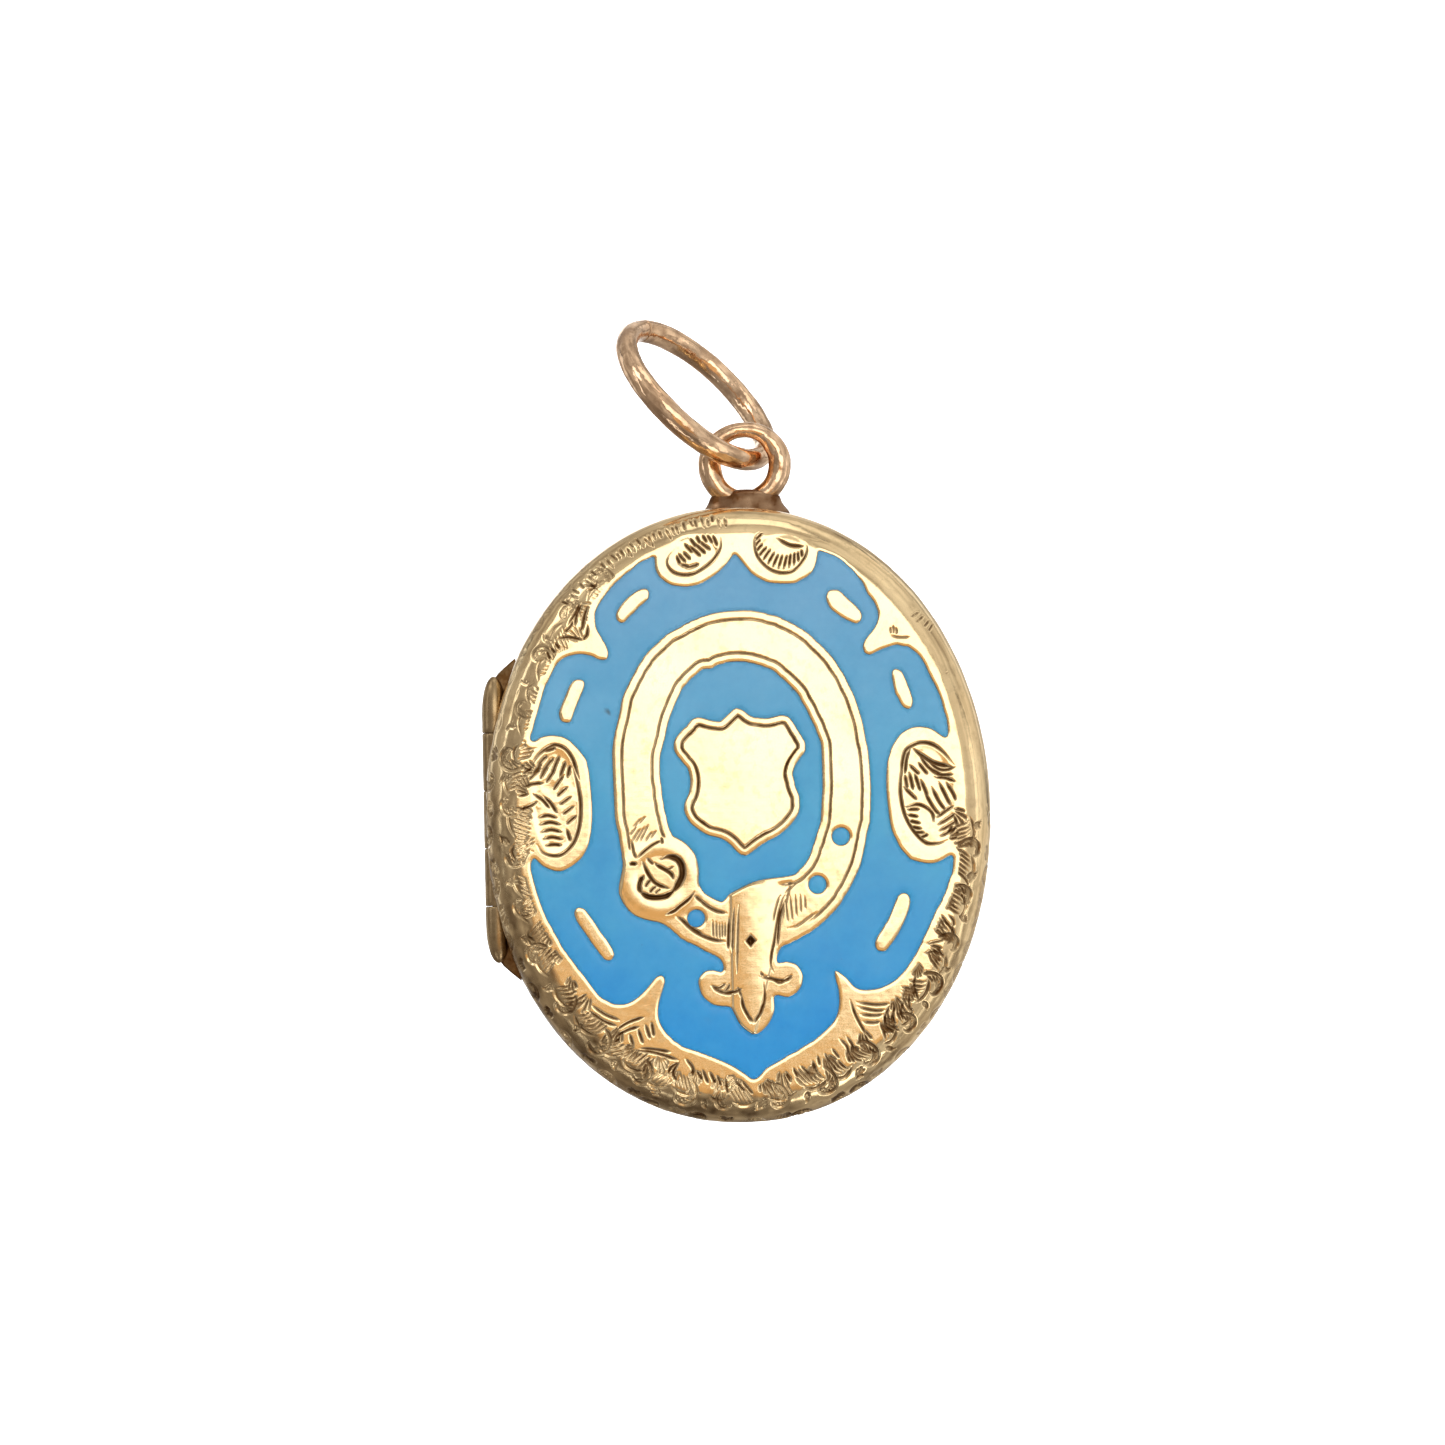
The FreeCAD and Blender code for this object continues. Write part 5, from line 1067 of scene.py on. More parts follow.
def knuckle(y0, y1, w0, w1, side, closed=0):
    """One barrel with its leaf; closed = -1 or +1 gives that end a long blind dome."""
    R_, r_in, c = 0.545, 0.25, 0.05
    inner = y1 if closed < 0 else y0            # the flat end
    outer = y0 if closed < 0 else y1
    d = 1 if outer > inner else -1
    if closed:
        prof = [(outer - 0.25 * d, 0.0), (outer - 0.25 * d, 0.07), (outer - 0.42 * d, 0.22), (outer - 0.5 * d, r_in)]
        prof += [(inner, r_in), (inner, R_ - c), (inner + 0.015 * d, R_ - 0.02), (inner + c * d, R_)]
        prof += [(y, R_ + 0.003 * math.sin(7 * y)) for y in np.linspace(inner + 0.2 * d, outer - 1.7 * d, 5)]
        prof += [(outer - q * d, r) for q, r in ((1.3, 0.53), (1.05, 0.505), (0.8, 0.465), (0.6, 0.42), (0.42, 0.365), (0.28, 0.305), (0.16, 0.235), (0.07, 0.155), (0.02, 0.08), (0.0, 0.0))]
        V, counts = turned(prof, HINGE_X, 0.0, 48)
        n = counts[1]
        i = np.arange(n); j = (i + 1) % n
        faces = np.stack([np.zeros(n, int), 1 + j, 1 + i], 1).tolist() + stitch(counts[1:], first=1)
    else:
        prof = [(y0, r_in), (y0, R_ - c), (y0 + 0.015, R_ - 0.02), (y0 + c, R_)]
        prof += [(y, R_ + 0.003 * math.sin(7 * y)) for y in np.linspace(y0 + 0.2, y1 - 0.2, 9)]
        prof += [(y1 - c, R_), (y1 - 0.015, R_ - 0.02), (y1, R_ - c), (y1, r_in)]
        V, counts = turned(prof, HINGE_X, 0.0, 48)
        n = counts[0]
        faces = stitch(counts)
        last = sum(counts[:-1])
        i = np.arange(n); j = (i + 1) % n
        faces += np.stack([last + i, last + j, j, i], 1).tolist()      # bore
    V = np.vstack(V)
    faces = oriented(V, faces)
    # leaf that runs into the case
    xs = np.linspace(HINGE_X + 0.30, -9.70, 6)
    t_lo, t_hi = (0.05, 0.49) if side > 0 else (-0.49, -0.05)
    leaf = []
    for x in xs:
        for yy, tt in ((w0 + 0.02, t_lo), (w1 - 0.02, t_lo), (w1 - 0.02, t_hi), (w0 + 0.02, t_hi)):
            leaf.append((x, yy, tt))
    lf = []
    for k in range(len(xs) - 1):
        for q in range(4):
            a0, a1 = 4 * k + q, 4 * k + (q + 1) % 4
            lf.append([a0, a1, a1 + 4, a0 + 4])
    lf += [[3, 2, 1, 0], [20, 21, 22, 23]]
    lf = oriented(leaf, lf)
    b = len(V)
    return np.vstack([V, leaf]), faces + [[q + b for q in f] for f in lf]


def gusset(sy):
    """Solder fillet between the end of the barrel and the rear case."""
    poly = [(-9.62, 7.10), (-9.86, 6.90), (-10.14, 6.66), (-10.40, 6.42), (-10.56, 6.18), (-10.62, 5.9), (-10.62, 5.2), (-10.62, 4.6), (-9.9, 4.6), (-9.6, 5.6)]
    ts = [(-0.04, 0.10), (-0.06, 0.03), (-0.12, 0.0), (-0.36, 0.0), (-0.46, 0.03), (-0.50, 0.10)]
    P = np.array(poly)
    c = P.mean(0)
    V = []
    for t, off in ts:
        Q = P + (c - P) / np.linalg.norm(c - P, axis=1)[:, None] * off
        V += [(x, sy * y, t + 0.012 * math.sin(5 * x + 3 * y)) for x, y in Q]
    n = len(poly)
    F = []
    for k in range(len(ts) - 1):
        F += [[k * n + i, k * n + (i + 1) % n, (k + 1) * n + (i + 1) % n, (k + 1) * n + i] for i in range(n)]
    F += [list(range(n))[::-1], [(len(ts) - 1) * n + i for i in range(n)]]
    return np.array(V), oriented(V, F)


HH, KG, NK = 6.3, 0.05, 5
SLIM = 0.017                                # each knuckle is cut this much longer
pitch = (2 * HH - (NK - 1) * KG) / NK
groups = {1: ([], []), -1: ([], [])}
for i in range(NK):
    y0 = -HH + i * (pitch + KG)
    y1 = y0 + pitch
    side = 1 if i % 2 == 1 else -1
    V, F = knuckle(y0 - (SLIM if i else -0.01), y1 + (SLIM if i < NK - 1 else -0.01), y0 + (1.2 if i == 0 else 0), y1 - (1.2 if i == NK - 1 else 0), side, -1 if i == 0 else (1 if i == NK - 1 else 0))
    gv, gf = groups[side]
    off = sum(len(v) for v in gv)
    gv.append(V)
    gf += [[q + off for q in f] for f in F]
for sy in (-1, 1):
    V, F = gusset(sy)
    gv, gf = groups[-1]
    off = sum(len(v) for v in gv)
    gv.append(V)
    gf += [[q + off for q in f] for f in F]
kn_f = mesh_object("hinge_knuckles_front_turned", np.vstack(groups[1][0]), groups[1][1], {"tarnish_and_shade": np.full(sum(map(len, groups[1][0])), 0.62)})
kn_b = mesh_object("hinge_knuckles_back_turned", np.vstack(groups[-1][0]), groups[-1][1], {"tarnish_and_shade": np.concatenate([np.full(sum(map(len, groups[-1][0][:-2])), 0.62), np.full(sum(map(len, groups[-1][0][-2:])), 0.95)])})
V, counts = turned([(-5.74, 0.0), (-5.74, 0.12), (-5.72, 0.20), (-5.68, 0.235), (-5.6, 0.245), (5.6, 0.245), (5.68, 0.235), (5.72, 0.20), (5.74, 0.12), (5.74, 0.0)], HINGE_X, 0.0, 32)
F = [[0, 1 + (i + 1) % 32, 1 + i] for i in range(32)] + stitch(counts[1:], first=1)
pin = mesh_object("hinge_pin_wire", np.vstack(V), F, {"tarnish_and_shade": np.full(sum(counts), 0.4)})


# ---------------------------------------------------------------- bow
BX, BY, BT = -CX, -CZ, PY                  # the eye's centre in the flat frame (row origin)
na, nw = ((360, 56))
a = np.linspace(0, 2 * np.pi, na, endpoint=False)
up = np.clip(np.sin(a), 0, 1)
dn = np.clip(-np.sin(a), 0, 1)
ri = 1.05 + 0.12 * up ** 2 + 0.13 * dn ** 2
ro = 2.075 - 0.20 * up ** 1.6
ri = ri + 0.012 * np.sin(3 * a + 1.0) + 0.008 * np.sin(7 * a)
ro = np.minimum(ro + 0.012 * np.sin(2 * a + 0.4) + 0.010 * np.sin(5 * a + 2), 2.078)
rc, rw = 0.5 * (ri + ro), 0.5 * (ro - ri)
path = np.stack([BX + rc * np.cos(a), BY + rc * np.sin(a), np.full(na, BT) + 0.02 * np.sin(2 * a)], 1)
rt = 0.49 - 0.10 * up ** 1.5 + 0.008 * np.sin(9 * a + 1)
V, F = tube("eye", path, rw, rt, (0, 0, 1), seg=nw, closed=True)
nz = 0.010 * noise2(V[:, 0] + 3 * V[:, 2], V[:, 1] - 2 * V[:, 2], 51, 0.5) + 0.006 * noise2(V[:, 0] + 5 * V[:, 2], V[:, 1], 52, 0.18)
c3 = np.repeat(path, nw, 0)
d3 = V - c3
V = V + d3 / np.linalg.norm(d3, axis=1)[:, None] * (nz - 0.012)[:, None]
# darker towards the bottom of the eye
low = smooth(-(V[:, 1] - BY), 0.9, 1.8)
eye = mesh_object("bow_eye_wire", V, F, {"tarnish_and_shade": 0.12 + 0.55 * low + 0.25 * (noise2(V[:, 0] * 1.3, V[:, 1] + V[:, 2], 53, 0.35) > 0.35)})

ys = [-2.55, -2.25, -2.10, -1.98, -1.88, -1.78, -1.68, -1.56, -1.44, -1.33, -1.24, -1.17, -1.13]
ha = [2.02, 1.98, 1.92, 1.82, 1.74, 1.67, 1.62, 1.58, 1.52, 1.40, 1.18, 0.82, 0.40]
hb = [0.82, 0.80, 0.77, 0.73, 0.69, 0.66, 0.63, 0.60, 0.57, 0.53, 0.47, 0.36, 0.18]
nf = 160
yy = np.linspace(0, len(ys) - 1, 52)
Y_, A_, B_ = (np.interp(yy, range(len(ys)), v) for v in (ys, ha, hb))
th = np.linspace(0, 2 * np.pi, nf, endpoint=False)
c_, s_ = np.cos(th), np.sin(th)
sx = np.sign(c_) * np.abs(c_) ** 0.85
st_ = np.sign(s_) * np.abs(s_) ** 0.85
V = [np.stack([BX + A * sx, np.full(nf, BY + y), BT + B * st_], 1) for y, A, B in zip(Y_, A_, B_)]
V.append(np.array([[BX, BY - 1.115, BT]]))
bot = np.array([[BX, BY - 2.55, BT]])
counts = [len(v) for v in V]
F = stitch(counts)
V = np.vstack(V + [bot])
nb_ = len(V) - 1
F += [[nb_, (i + 1) % nf, i] for i in range(nf)]
V[:nb_] += 0.012 * np.stack([noise2(V[:nb_, 0], V[:nb_, 1] + V[:nb_, 2], 61, 0.4), 0 * V[:nb_, 0], noise2(V[:nb_, 0] + 9, V[:nb_, 1], 62, 0.35)], 1)
# a dark tone over the whole foot
foot = mesh_object("bow_foot_flared", V, F, {"tarnish_and_shade": np.clip(0.80 + 0.2 * noise2(V[:, 0], V[:, 1], 63, 0.3), 0, 1)})

# ---------------------------------------------------------------- jump ring
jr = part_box("jump_ring")
rc_row = (np.array(jr[0]) + np.array(jr[1])) * 500
nrm = np.array([0.6174, -0.4555, 0.6405]); nrm /= np.linalg.norm(nrm)
u3 = np.array([0.7104, -0.0251, -0.7026]); u3 -= nrm * (u3 @ nrm); u3 /= np.linalg.norm(u3)
w3 = np.cross(nrm, u3)
nt_ = 640
t = np.linspace(0, 2 * np.pi, nt_, endpoint=False)
rr = 3.945 + 0.02 * np.sin(2 * t + 0.6) + 0.012 * np.sin(5 * t)
path = rc_row + rr[:, None] * (np.cos(t)[:, None] * u3 + np.sin(t)[:, None] * w3) + (0.015 * np.sin(3 * t + 1))[:, None] * nrm
seam = np.exp(-((np.degrees(t) - 164) / 0.55) ** 2)
ra = 0.455 + 0.012 * np.sin(4 * t + 2) - 0.10 * seam
rbx = 0.545 + 0.015 * np.sin(3 * t) - 0.10 * seam
flat = np.stack([path[:, 0] - CX, path[:, 2] - CZ, PY - path[:, 1]], 1)
nflat = np.array([nrm[0], nrm[2], -nrm[1]])
sg = 64
V, F = tube("ring", flat, ra, rbx, nflat, seg=sg, closed=True)
c3 = np.repeat(flat, sg, 0)
d3 = (V - c3) / np.linalg.norm(V - c3, axis=1)[:, None]
ang = np.tile(np.linspace(0, 2 * np.pi, sg, endpoint=False), nt_)
tt = np.repeat(t, sg)
dent = 0.008 * noise2(tt * 4, ang * 1.0, 71, 0.55) + 0.006 * noise2(tt * 4, ang * 1.0, 72, 0.16)
V = V + d3 * (dent - 0.008)[:, None]
wear = np.clip(0.10 + 0.35 * noise2(tt * 4, ang, 73, 0.5), 0, 1) + np.repeat(seam, sg)
ring = mesh_object("jump_ring_wire", V, F, {"tarnish_and_shade": np.clip(wear, 0, 1)})


# ---------------------------------------------------------------- materials
def new_material(name):
    m = bpy.data.materials.new(name)
    m.use_nodes = True
    nt = m.node_tree
    return m, nt, nt.nodes["Principled BSDF"]


def node(nt, kind, **kw):
    n = nt.nodes.new(kind)
    for k, v in kw.items():
        if k in n.inputs:
            n.inputs[k].default_value = v
        else:
            setattr(n, k, v)
    return n


def coords_mm(nt, stretch=(1, 1, 1)):
    tc = node(nt, "ShaderNodeTexCoord")
    mp = node(nt, "ShaderNodeMapping")
    mp.inputs["Scale"].default_value = [1000 * s for s in stretch]
    nt.links.new(tc.outputs["Object"], mp.inputs["Vector"])
    return mp.outputs["Vector"]


def noise(nt, vec, scale, detail=4, rough=0.55):
    n = node(nt, "ShaderNodeTexNoise")
    n.inputs["Scale"].default_value = scale
    n.inputs["Detail"].default_value = detail
    n.inputs["Roughness"].default_value = rough
    nt.links.new(vec, n.inputs["Vector"])
    return n.outputs["Fac"]


def math_(nt, op, a, b=None, clamp=False):
    n = node(nt, "ShaderNodeMath", operation=op, use_clamp=clamp)
    for i, v in enumerate((a, b)):
        if v is None:
            continue
        if isinstance(v, (int, float)):
            n.inputs[i].default_value = v
        else:
            nt.links.new(v, n.inputs[i])
    return n.outputs[0]


def ramp(nt, fac, stops):
    n = node(nt, "ShaderNodeValToRGB")
    el = n.color_ramp.elements
    while len(el) < len(stops):
        el.new(0.5)
    for e, (p, c) in zip(el, stops):
        e.position = p
        e.color = (*c, 1) if len(c) == 3 else c
    nt.links.new(fac, n.inputs["Fac"])
    return n.outputs["Color"]


def mix_rgb(nt, fac, a, b):
    n = node(nt, "ShaderNodeMix", data_type="RGBA")
    if isinstance(fac, (int, float)):
        n.inputs[0].default_value = fac
    else:
        nt.links.new(fac, n.inputs[0])
    for i, v in ((6, a), (7, b)):
        if isinstance(v, tuple):
            n.inputs[i].default_value = (*v, 1)
        else:
            nt.links.new(v, n.inputs[i])
    return n.outputs[2]


def metal(name, light, mid, dark, rough, has_attr=True, wear=0.25, bump=0.0045):
    m, nt, bs = new_material(name)
    vec = coords_mm(nt)
    broad = noise(nt, vec, 0.35, 3)
    fine = noise(nt, vec, 2.2, 6, 0.6)
    grain = noise(nt, vec, 14, 3, 0.6)
    tone = ramp(nt, broad, [(0.35, mid), (0.65, light)])
    # the per-point darkening holds patina in the cuts and, on the covers, painted shade
    if has_attr:
        at = node(nt, "ShaderNodeAttribute", attribute_name="tarnish_and_shade").outputs["Fac"]
    else:
        at = math_(nt, "MULTIPLY", broad, 0.15)
    speck = math_(nt, "MULTIPLY", math_(nt, "SUBTRACT", fine, 0.55, True), 2.2, True)
    d = math_(nt, "ADD", at, math_(nt, "MULTIPLY", math_(nt, "SUBTRACT", fine, 0.5), 0.45))
    d = math_(nt, "ADD", d, math_(nt, "MULTIPLY", speck, wear), True)
    d = math_(nt, "MULTIPLY", d, 1.0, True)
    col = mix_rgb(nt, d, tone, dark)
    nt.links.new(col, bs.inputs["Base Color"])
    bs.inputs["Metallic"].default_value = 1.0
    r = math_(nt, "ADD", rough, math_(nt, "MULTIPLY", d, 0.28))
    r = math_(nt, "ADD", r, math_(nt, "MULTIPLY", math_(nt, "SUBTRACT", grain, 0.5), 0.16), True)
    nt.links.new(r, bs.inputs["Roughness"])
    # hairline wear: two crossing families of fine scratches, and grain
    s1 = noise(nt, coords_mm(nt, (9, 9, 0.5)), 1.0, 2)
    s2 = noise(nt, coords_mm(nt, (0.6, 5, 7)), 1.0, 2)
    hgt = math_(nt, "ADD", math_(nt, "MULTIPLY", s1, 0.5), math_(nt, "MULTIPLY", s2, 0.5))
    hgt = math_(nt, "ADD", hgt, math_(nt, "MULTIPLY", grain, 0.35))
    bp = node(nt, "ShaderNodeBump")
    bp.inputs["Strength"].default_value = 0.35
    bp.inputs["Distance"].default_value = bump * 1e-3
    nt.links.new(hgt, bp.inputs["Height"])
    nt.links.new(bp.outputs["Normal"], bs.inputs["Normal"])
    return m


gold = metal("yellow_gold_worn_and_shaded", (0.98, 0.76, 0.44), (0.93, 0.69, 0.38), (0.13, 0.062, 0.020), 0.12)
gold_plain = metal("yellow_gold_plain", (0.98, 0.76, 0.44), (0.93, 0.69, 0.38), (0.16, 0.085, 0.028), 0.18, False)
rose = metal("rose_gold_wire", (0.98, 0.70, 0.46), (0.92, 0.60, 0.36), (0.16, 0.068, 0.024), 0.11)
rose_plain = metal("rose_gold_plain", (0.98, 0.70, 0.46), (0.90, 0.58, 0.34), (0.20, 0.085, 0.03), 0.17, False)

enamel, nt, bs = new_material("blue_enamel_glassy")
vec = coords_mm(nt)
cloud = noise(nt, vec, 0.45, 4, 0.55)
mott = noise(nt, vec, 3.0, 5, 0.6)
fac = math_(nt, "ADD", math_(nt, "MULTIPLY", cloud, 0.6), math_(nt, "MULTIPLY", mott, 0.4))
# painted sheen: the enamel's colour runs paler and greyer towards the top, in place of the lamp's reflection there
sep = node(nt, "ShaderNodeSeparateXYZ")
nt.links.new(vec, sep.inputs[0])
hgt = math_(nt, "MULTIPLY", math_(nt, "ADD", sep.outputs["Z"], 27.0), 1 / 23.0)
hgt = math_(nt, "ADD", hgt, math_(nt, "MULTIPLY", math_(nt, "SUBTRACT", cloud, 0.5), 0.35), True)
col = ramp(nt, hgt, [(0.05, (0.013, 0.176, 0.405)), (0.30, (0.028, 0.190, 0.372)), (0.52, (0.038, 0.208, 0.352)), (0.95, (0.078, 0.212, 0.344))])
shade = ramp(nt, fac, [(0.34, (0.90, 0.92, 0.94)), (0.66, (1.08, 1.06, 1.03))])
mul = node(nt, "ShaderNodeMix", data_type="RGBA", blend_type="MULTIPLY")
mul.inputs[0].default_value = 1.0
nt.links.new(col, mul.inputs[6])
nt.links.new(shade, mul.inputs[7])
col = mul.outputs[2]
bub = node(nt, "ShaderNodeTexVoronoi")
bub.inputs["Scale"].default_value = 1.15
nt.links.new(vec, bub.inputs["Vector"])
dots = math_(nt, "MULTIPLY", math_(nt, "SUBTRACT", 0.055, bub.outputs["Distance"], True), 18, True)
sel = math_(nt, "GREATER_THAN", noise(nt, vec, 0.8, 1), 0.56)
dots = math_(nt, "MULTIPLY", dots, sel)
col = mix_rgb(nt, math_(nt, "MULTIPLY", dots, 0.5), col, (0.03, 0.11, 0.20))
at = node(nt, "ShaderNodeAttribute", attribute_name="pit").outputs["Fac"]
col = mix_rgb(nt, math_(nt, "MULTIPLY", at, 0.85), col, (0.04, 0.06, 0.07))
nt.links.new(col, bs.inputs["Base Color"])
bs.inputs["Specular IOR Level"].default_value = 0.35
bs.inputs["IOR"].default_value = 1.5
rg = math_(nt, "ADD", 0.10, math_(nt, "MULTIPLY", mott, 0.14))
nt.links.new(rg, bs.inputs["Roughness"])
bp = node(nt, "ShaderNodeBump")
bp.inputs["Strength"].default_value = 0.3
bp.inputs["Distance"].default_value = 8e-6
nt.links.new(noise(nt, vec, 2.4, 4), bp.inputs["Height"])
nt.links.new(bp.outputs["Normal"], bs.inputs["Normal"])

crystal, nt, bs = new_material("crystal_glass")
bs.inputs["Transmission Weight"].default_value = 1.0
bs.inputs["IOR"].default_value = 1.50
vec = coords_mm(nt)
nt.links.new(math_(nt, "ADD", 0.0, math_(nt, "MULTIPLY", math_(nt, "SUBTRACT", noise(nt, vec, 0.6, 5), 0.5, True), 0.22)), bs.inputs["Roughness"])
nt.links.new(ramp(nt, noise(nt, vec, 0.2, 2), [(0.3, (0.97, 0.985, 0.975)), (0.7, (0.985, 0.99, 0.985))]), bs.inputs["Base Color"])

card, nt, bs = new_material("cream_card")
vec = coords_mm(nt)
fib = noise(nt, coords_mm(nt, (1, 1, 6)), 1.2, 6, 0.7)
stain = noise(nt, vec, 0.16, 4)
col = mix_rgb(nt, math_(nt, "MULTIPLY", math_(nt, "SUBTRACT", stain, 0.45, True), 2.0, True), (0.80, 0.73, 0.58), (0.62, 0.50, 0.33))
col = mix_rgb(nt, math_(nt, "MULTIPLY", fib, 0.25), col, (0.92, 0.88, 0.76))
nt.links.new(col, bs.inputs["Base Color"])
bs.inputs["Roughness"].default_value = 0.85
bp = node(nt, "ShaderNodeBump")
bp.inputs["Strength"].default_value = 0.5
bp.inputs["Distance"].default_value = 2e-5
nt.links.new(fib, bp.inputs["Height"])
nt.links.new(bp.outputs["Normal"], bs.inputs["Normal"])


def finish(o, mat, slot, body, *nodes):
    o.data.materials.clear()
    o.data.materials.append(mat)
    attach(o, body)
    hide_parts(*nodes)


finish(front, gold, "yellow_gold", "front_case", "front_cover")
finish(rear, gold, "yellow_gold", "back_case", "back_cover")
finish(e_field, enamel, "blue_enamel", "front_case", "enamel_field")
finish(e_centre, enamel, "blue_enamel", "front_case", "enamel_centre")
finish(e_holes, enamel, "blue_enamel", "front_case", "enamel_strap_holes")
finish(bezel_f, gold, "yellow_gold", "front_case", "front_bezel")
finish(bezel_b, gold, "yellow_gold", "back_case", "back_bezel")
finish(glass_f, crystal, "crystal", "front_case", "front_glass")
finish(glass_b, crystal, "crystal", "back_case", "back_glass")
finish(card_f, card, "card", "front_case", "front_picture")
finish(card_b, card, "card", "back_case", "back_picture")
finish(kn_f, gold, "yellow_gold", "front_case", "hinge_knuckles_front")
finish(kn_b, gold, "yellow_gold", "back_case", "hinge_knuckles_back")
finish(pin, gold, "yellow_gold", "back_case", "hinge_pin")
finish(eye, rose, "rose_gold", "back_case", "bow_eye")
finish(foot, rose, "rose_gold", "back_case", "bow_foot")
finish(ring, rose, "rose_gold", "jump_ring", "jump_ring")
for nm, mt in (("front_rim", gold_plain), ("back_rim", gold_plain), ("snap_tongue", gold_plain)):
    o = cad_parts[nm]
    if not o.data.materials:
        o.data.materials.append(mt)
    for i in range(len(o.data.materials)):
        o.data.materials[i] = mt

# ---------------------------------------------------------------- stage
scn = bpy.context.scene
scn.view_settings.view_transform = "Standard"
scn.view_settings.look = "None"
world = bpy.data.worlds.new("studio") if scn.world is None else scn.world
scn.world = world
world.use_nodes = True
wn = world.node_tree
wn.nodes.clear()
out = wn.nodes.new("ShaderNodeOutputWorld")
bg = wn.nodes.new("ShaderNodeBackground")
tc = wn.nodes.new("ShaderNodeTexCoord")
sp = wn.nodes.new("ShaderNodeSeparateXYZ")
wn.links.new(tc.outputs["Generated"], sp.inputs[0])
# a room that is lighter to the right, dim and brown below
lv = math_(wn, "MULTIPLY", sp.outputs["X"], 0.20)
lv = math_(wn, "ADD", lv, math_(wn, "MULTIPLY", sp.outputs["Z"], 0.12))
lv = math_(wn, "ADD", lv, 0.50)
low = math_(wn, "MULTIPLY", math_(wn, "SUBTRACT", math_(wn, "MULTIPLY", sp.outputs["Z"], -1.0), 0.15, True), 0.22)
lv = math_(wn, "SUBTRACT", lv, low)
nz_ = wn.nodes.new("ShaderNodeTexNoise")
nz_.inputs["Scale"].default_value = 2.9
nz_.inputs["Detail"].default_value = 3
wn.links.new(tc.outputs["Generated"], nz_.inputs["Vector"])
lv = math_(wn, "MULTIPLY", lv, math_(wn, "MULTIPLY", math_(wn, "SUBTRACT", nz_.outputs["Fac"], 0.13, True), 2.75), )
warm = ramp(wn, lv, [(0.0, (0.11, 0.082, 0.062)), (0.35, (0.36, 0.33, 0.30)), (1.0, (1.0, 0.98, 0.95))])
wn.links.new(warm, bg.inputs["Color"])
bg.inputs["Strength"].default_value = 1.0
wn.links.new(bg.outputs[0], out.inputs[0])

# a pale floor that rises into the backdrop all round
prof = [(0.0, -0.16), (0.3, -0.16), (0.55, -0.16)]
for q in np.linspace(0, math.pi / 2, 14)[1:]:
    prof.append((0.55 + 0.45 * math.sin(q), -0.16 + 0.45 * (1 - math.cos(q))))
prof.append((1.0, 1.2))
nb_ = 96
V = [(0, 0, -0.16)]
for r_, z_ in prof[1:]:
    for q in np.linspace(0, 2 * np.pi, nb_, endpoint=False):
        V.append((r_ * math.cos(q), r_ * math.sin(q), z_))
F = [[0, 1 + i, 1 + (i + 1) % nb_] for i in range(nb_)] + stitch([nb_] * (len(prof) - 1), first=1)
me = bpy.data.meshes.new("backdrop")
me.from_pydata(V, [], F)
me.polygons.foreach_set("use_smooth", np.ones(len(me.polygons), bool))
bowl = bpy.data.objects.new("backdrop", me)
scn.collection.objects.link(bowl)
pale, nt, bs = new_material("pale_floor")
bs.inputs["Base Color"].default_value = (0.93, 0.93, 0.93, 1)
bs.inputs["Roughness"].default_value = 0.95
bs.inputs["Specular IOR Level"].default_value = 0.0
bs.inputs["Emission Color"].default_value = (1, 1, 1, 1)
bs.inputs["Emission Strength"].default_value = 0.72
me.materials.append(pale)
bowl.visible_glossy = False
bowl.visible_transmission = True

AIM = np.array([CX, 0.0, CZ + 1.5]) * 1e-3


def panel(name, az, elv, dist, w, h, L, color=(1, 1, 1), glossy=True, diffuse=True, edge=0.16, roll=0.0):
    a, e = math.radians(az), math.radians(elv)
    d = np.array([math.sin(a) * math.cos(e), -math.cos(a) * math.cos(e), math.sin(e)])
    me = bpy.data.meshes.new(name)
    me.from_pydata([(-w / 2, -h / 2, 0), (w / 2, -h / 2, 0), (w / 2, h / 2, 0), (-w / 2, h / 2, 0)], [], [[0, 1, 2, 3]])
    o = bpy.data.objects.new(name, me)
    scn.collection.objects.link(o)
    z = Vector(-d)
    o.rotation_mode = "QUATERNION"
    o.rotation_quaternion = (-z).to_track_quat("Z", "Y")
    m4 = (-z).to_track_quat("Z", "Y").to_matrix().to_4x4() @ Matrix.Rotation(math.radians(roll), 4, "Z")
    m4.translation = Vector(AIM + d * dist)
    o.matrix_world = m4
    m = bpy.data.materials.new(name)
    m.use_nodes = True
    nt = m.node_tree
    nt.nodes.clear()
    om = nt.nodes.new("ShaderNodeOutputMaterial")
    em = nt.nodes.new("ShaderNodeEmission")
    em.inputs["Color"].default_value = (*color, 1)
    tc = nt.nodes.new("ShaderNodeTexCoord")
    sp = nt.nodes.new("ShaderNodeSeparateXYZ")
    nt.links.new(tc.outputs["Generated"], sp.inputs[0])
    f = None
    for ax in ("X", "Y"):
        v = math_(nt, "MINIMUM", sp.outputs[ax], math_(nt, "SUBTRACT", 1.0, sp.outputs[ax]))
        v = math_(nt, "DIVIDE", v, edge, True)
        v = math_(nt, "SMOOTH_MIN", v, 1.0)
        f = v if f is None else math_(nt, "MULTIPLY", f, v)
    nt.links.new(math_(nt, "MULTIPLY", f, L), em.inputs["Strength"])
    nt.links.new(em.outputs[0], om.inputs[0])
    me.materials.append(m)
    o.visible_camera = False
    o.visible_shadow = False
    o.visible_glossy = glossy
    o.visible_diffuse = diffuse
    o.visible_transmission = False
    return o


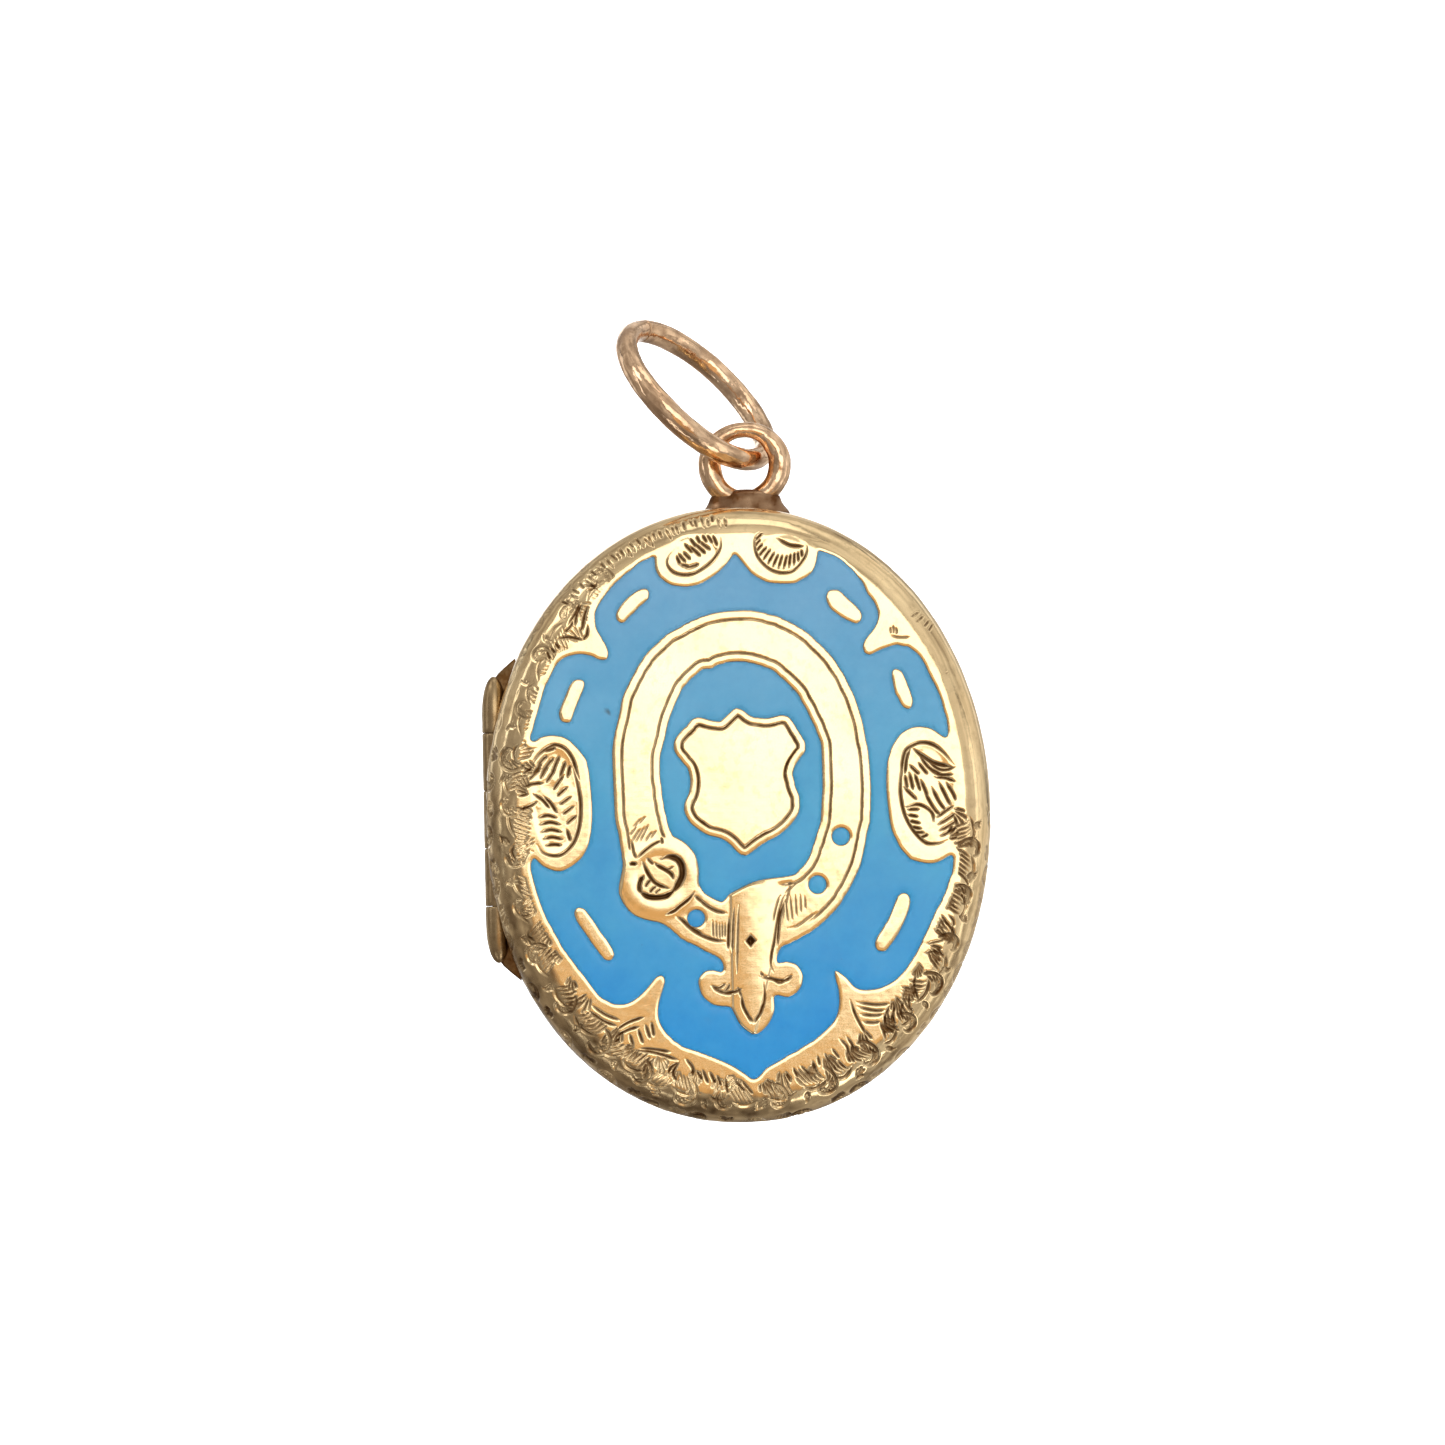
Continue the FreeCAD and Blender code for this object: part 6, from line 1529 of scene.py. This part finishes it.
panel("soft_front", 9, 10.2, 0.55, 0.46, 0.26, 2.5, (1.0, 0.98, 0.94), edge=0.08, roll=-22)
panel("warm_front", 2, -14.2, 0.60, 0.40, 0.30, 0.90, (1.0, 0.67, 0.36), edge=0.10, roll=-22)
panel("soft_top", 15, 68, 0.60, 0.40, 0.30, 1.7, (1.0, 0.98, 0.95))
panel("strip_up_left", -58, 42, 0.60, 0.26, 0.22, 2.8, (1.0, 0.98, 0.95))
panel("strip_right", 66, -10, 0.60, 0.16, 0.60, 1.5, (1.0, 0.98, 0.95))
panel("strip_low_right", 42, -48, 0.60, 0.26, 0.22, 3.0, (1.0, 0.97, 0.92))
panel("strip_left", -75, 15, 0.60, 0.10, 0.50, 1.75)
panel("strip_low_left", -50, -50, 0.60, 0.08, 0.40, 2.2, roll=30)
panel("soft_back", 180, 12, 0.60, 0.50, 0.50, 1.5)
panel("strip_back_left", -128, 5, 0.62, 0.20, 0.55, 1.1)
panel("strip_back_right", 128, 25, 0.62, 0.20, 0.55, 1.1)

# ---------------------------------------------------------------- camera
MM = 0.044
az, elv, roll, D = math.radians(-4), math.radians(-2), math.radians(-1.2), 250.0
backv = np.array([math.sin(az) * math.cos(elv), -math.cos(az) * math.cos(elv), math.sin(elv)])
fwd = -backv
right = np.cross(fwd, [0, 0, 1]); right /= np.linalg.norm(right)
upv = np.cross(right, fwd)
Rv = right * math.cos(roll) + upv * math.sin(roll)
Uv = -right * math.sin(roll) + upv * math.cos(roll)
dx, dy = (737.26 - 722.5) * MM, -(814.93 - 722.5) * MM
pos = backv * D - Rv * dx - Uv * dy
pos = (pos + np.array([CX, PY, CZ])) * 1e-3
cd = bpy.data.cameras.new("camera")
cam = bpy.data.objects.new("camera", cd)
scn.collection.objects.link(cam)
cd.sensor_width = 36.0
cd.lens = 36.0 * D / (1445 * MM)
cd.clip_start, cd.clip_end = 0.01, 5.0
mw = Matrix.Identity(4)
for i in range(3):
    mw[i][0], mw[i][1], mw[i][2], mw[i][3] = Rv[i], Uv[i], -fwd[i], pos[i]
cam.matrix_world = mw
scn.camera = cam

bpy.context.view_layer.update()
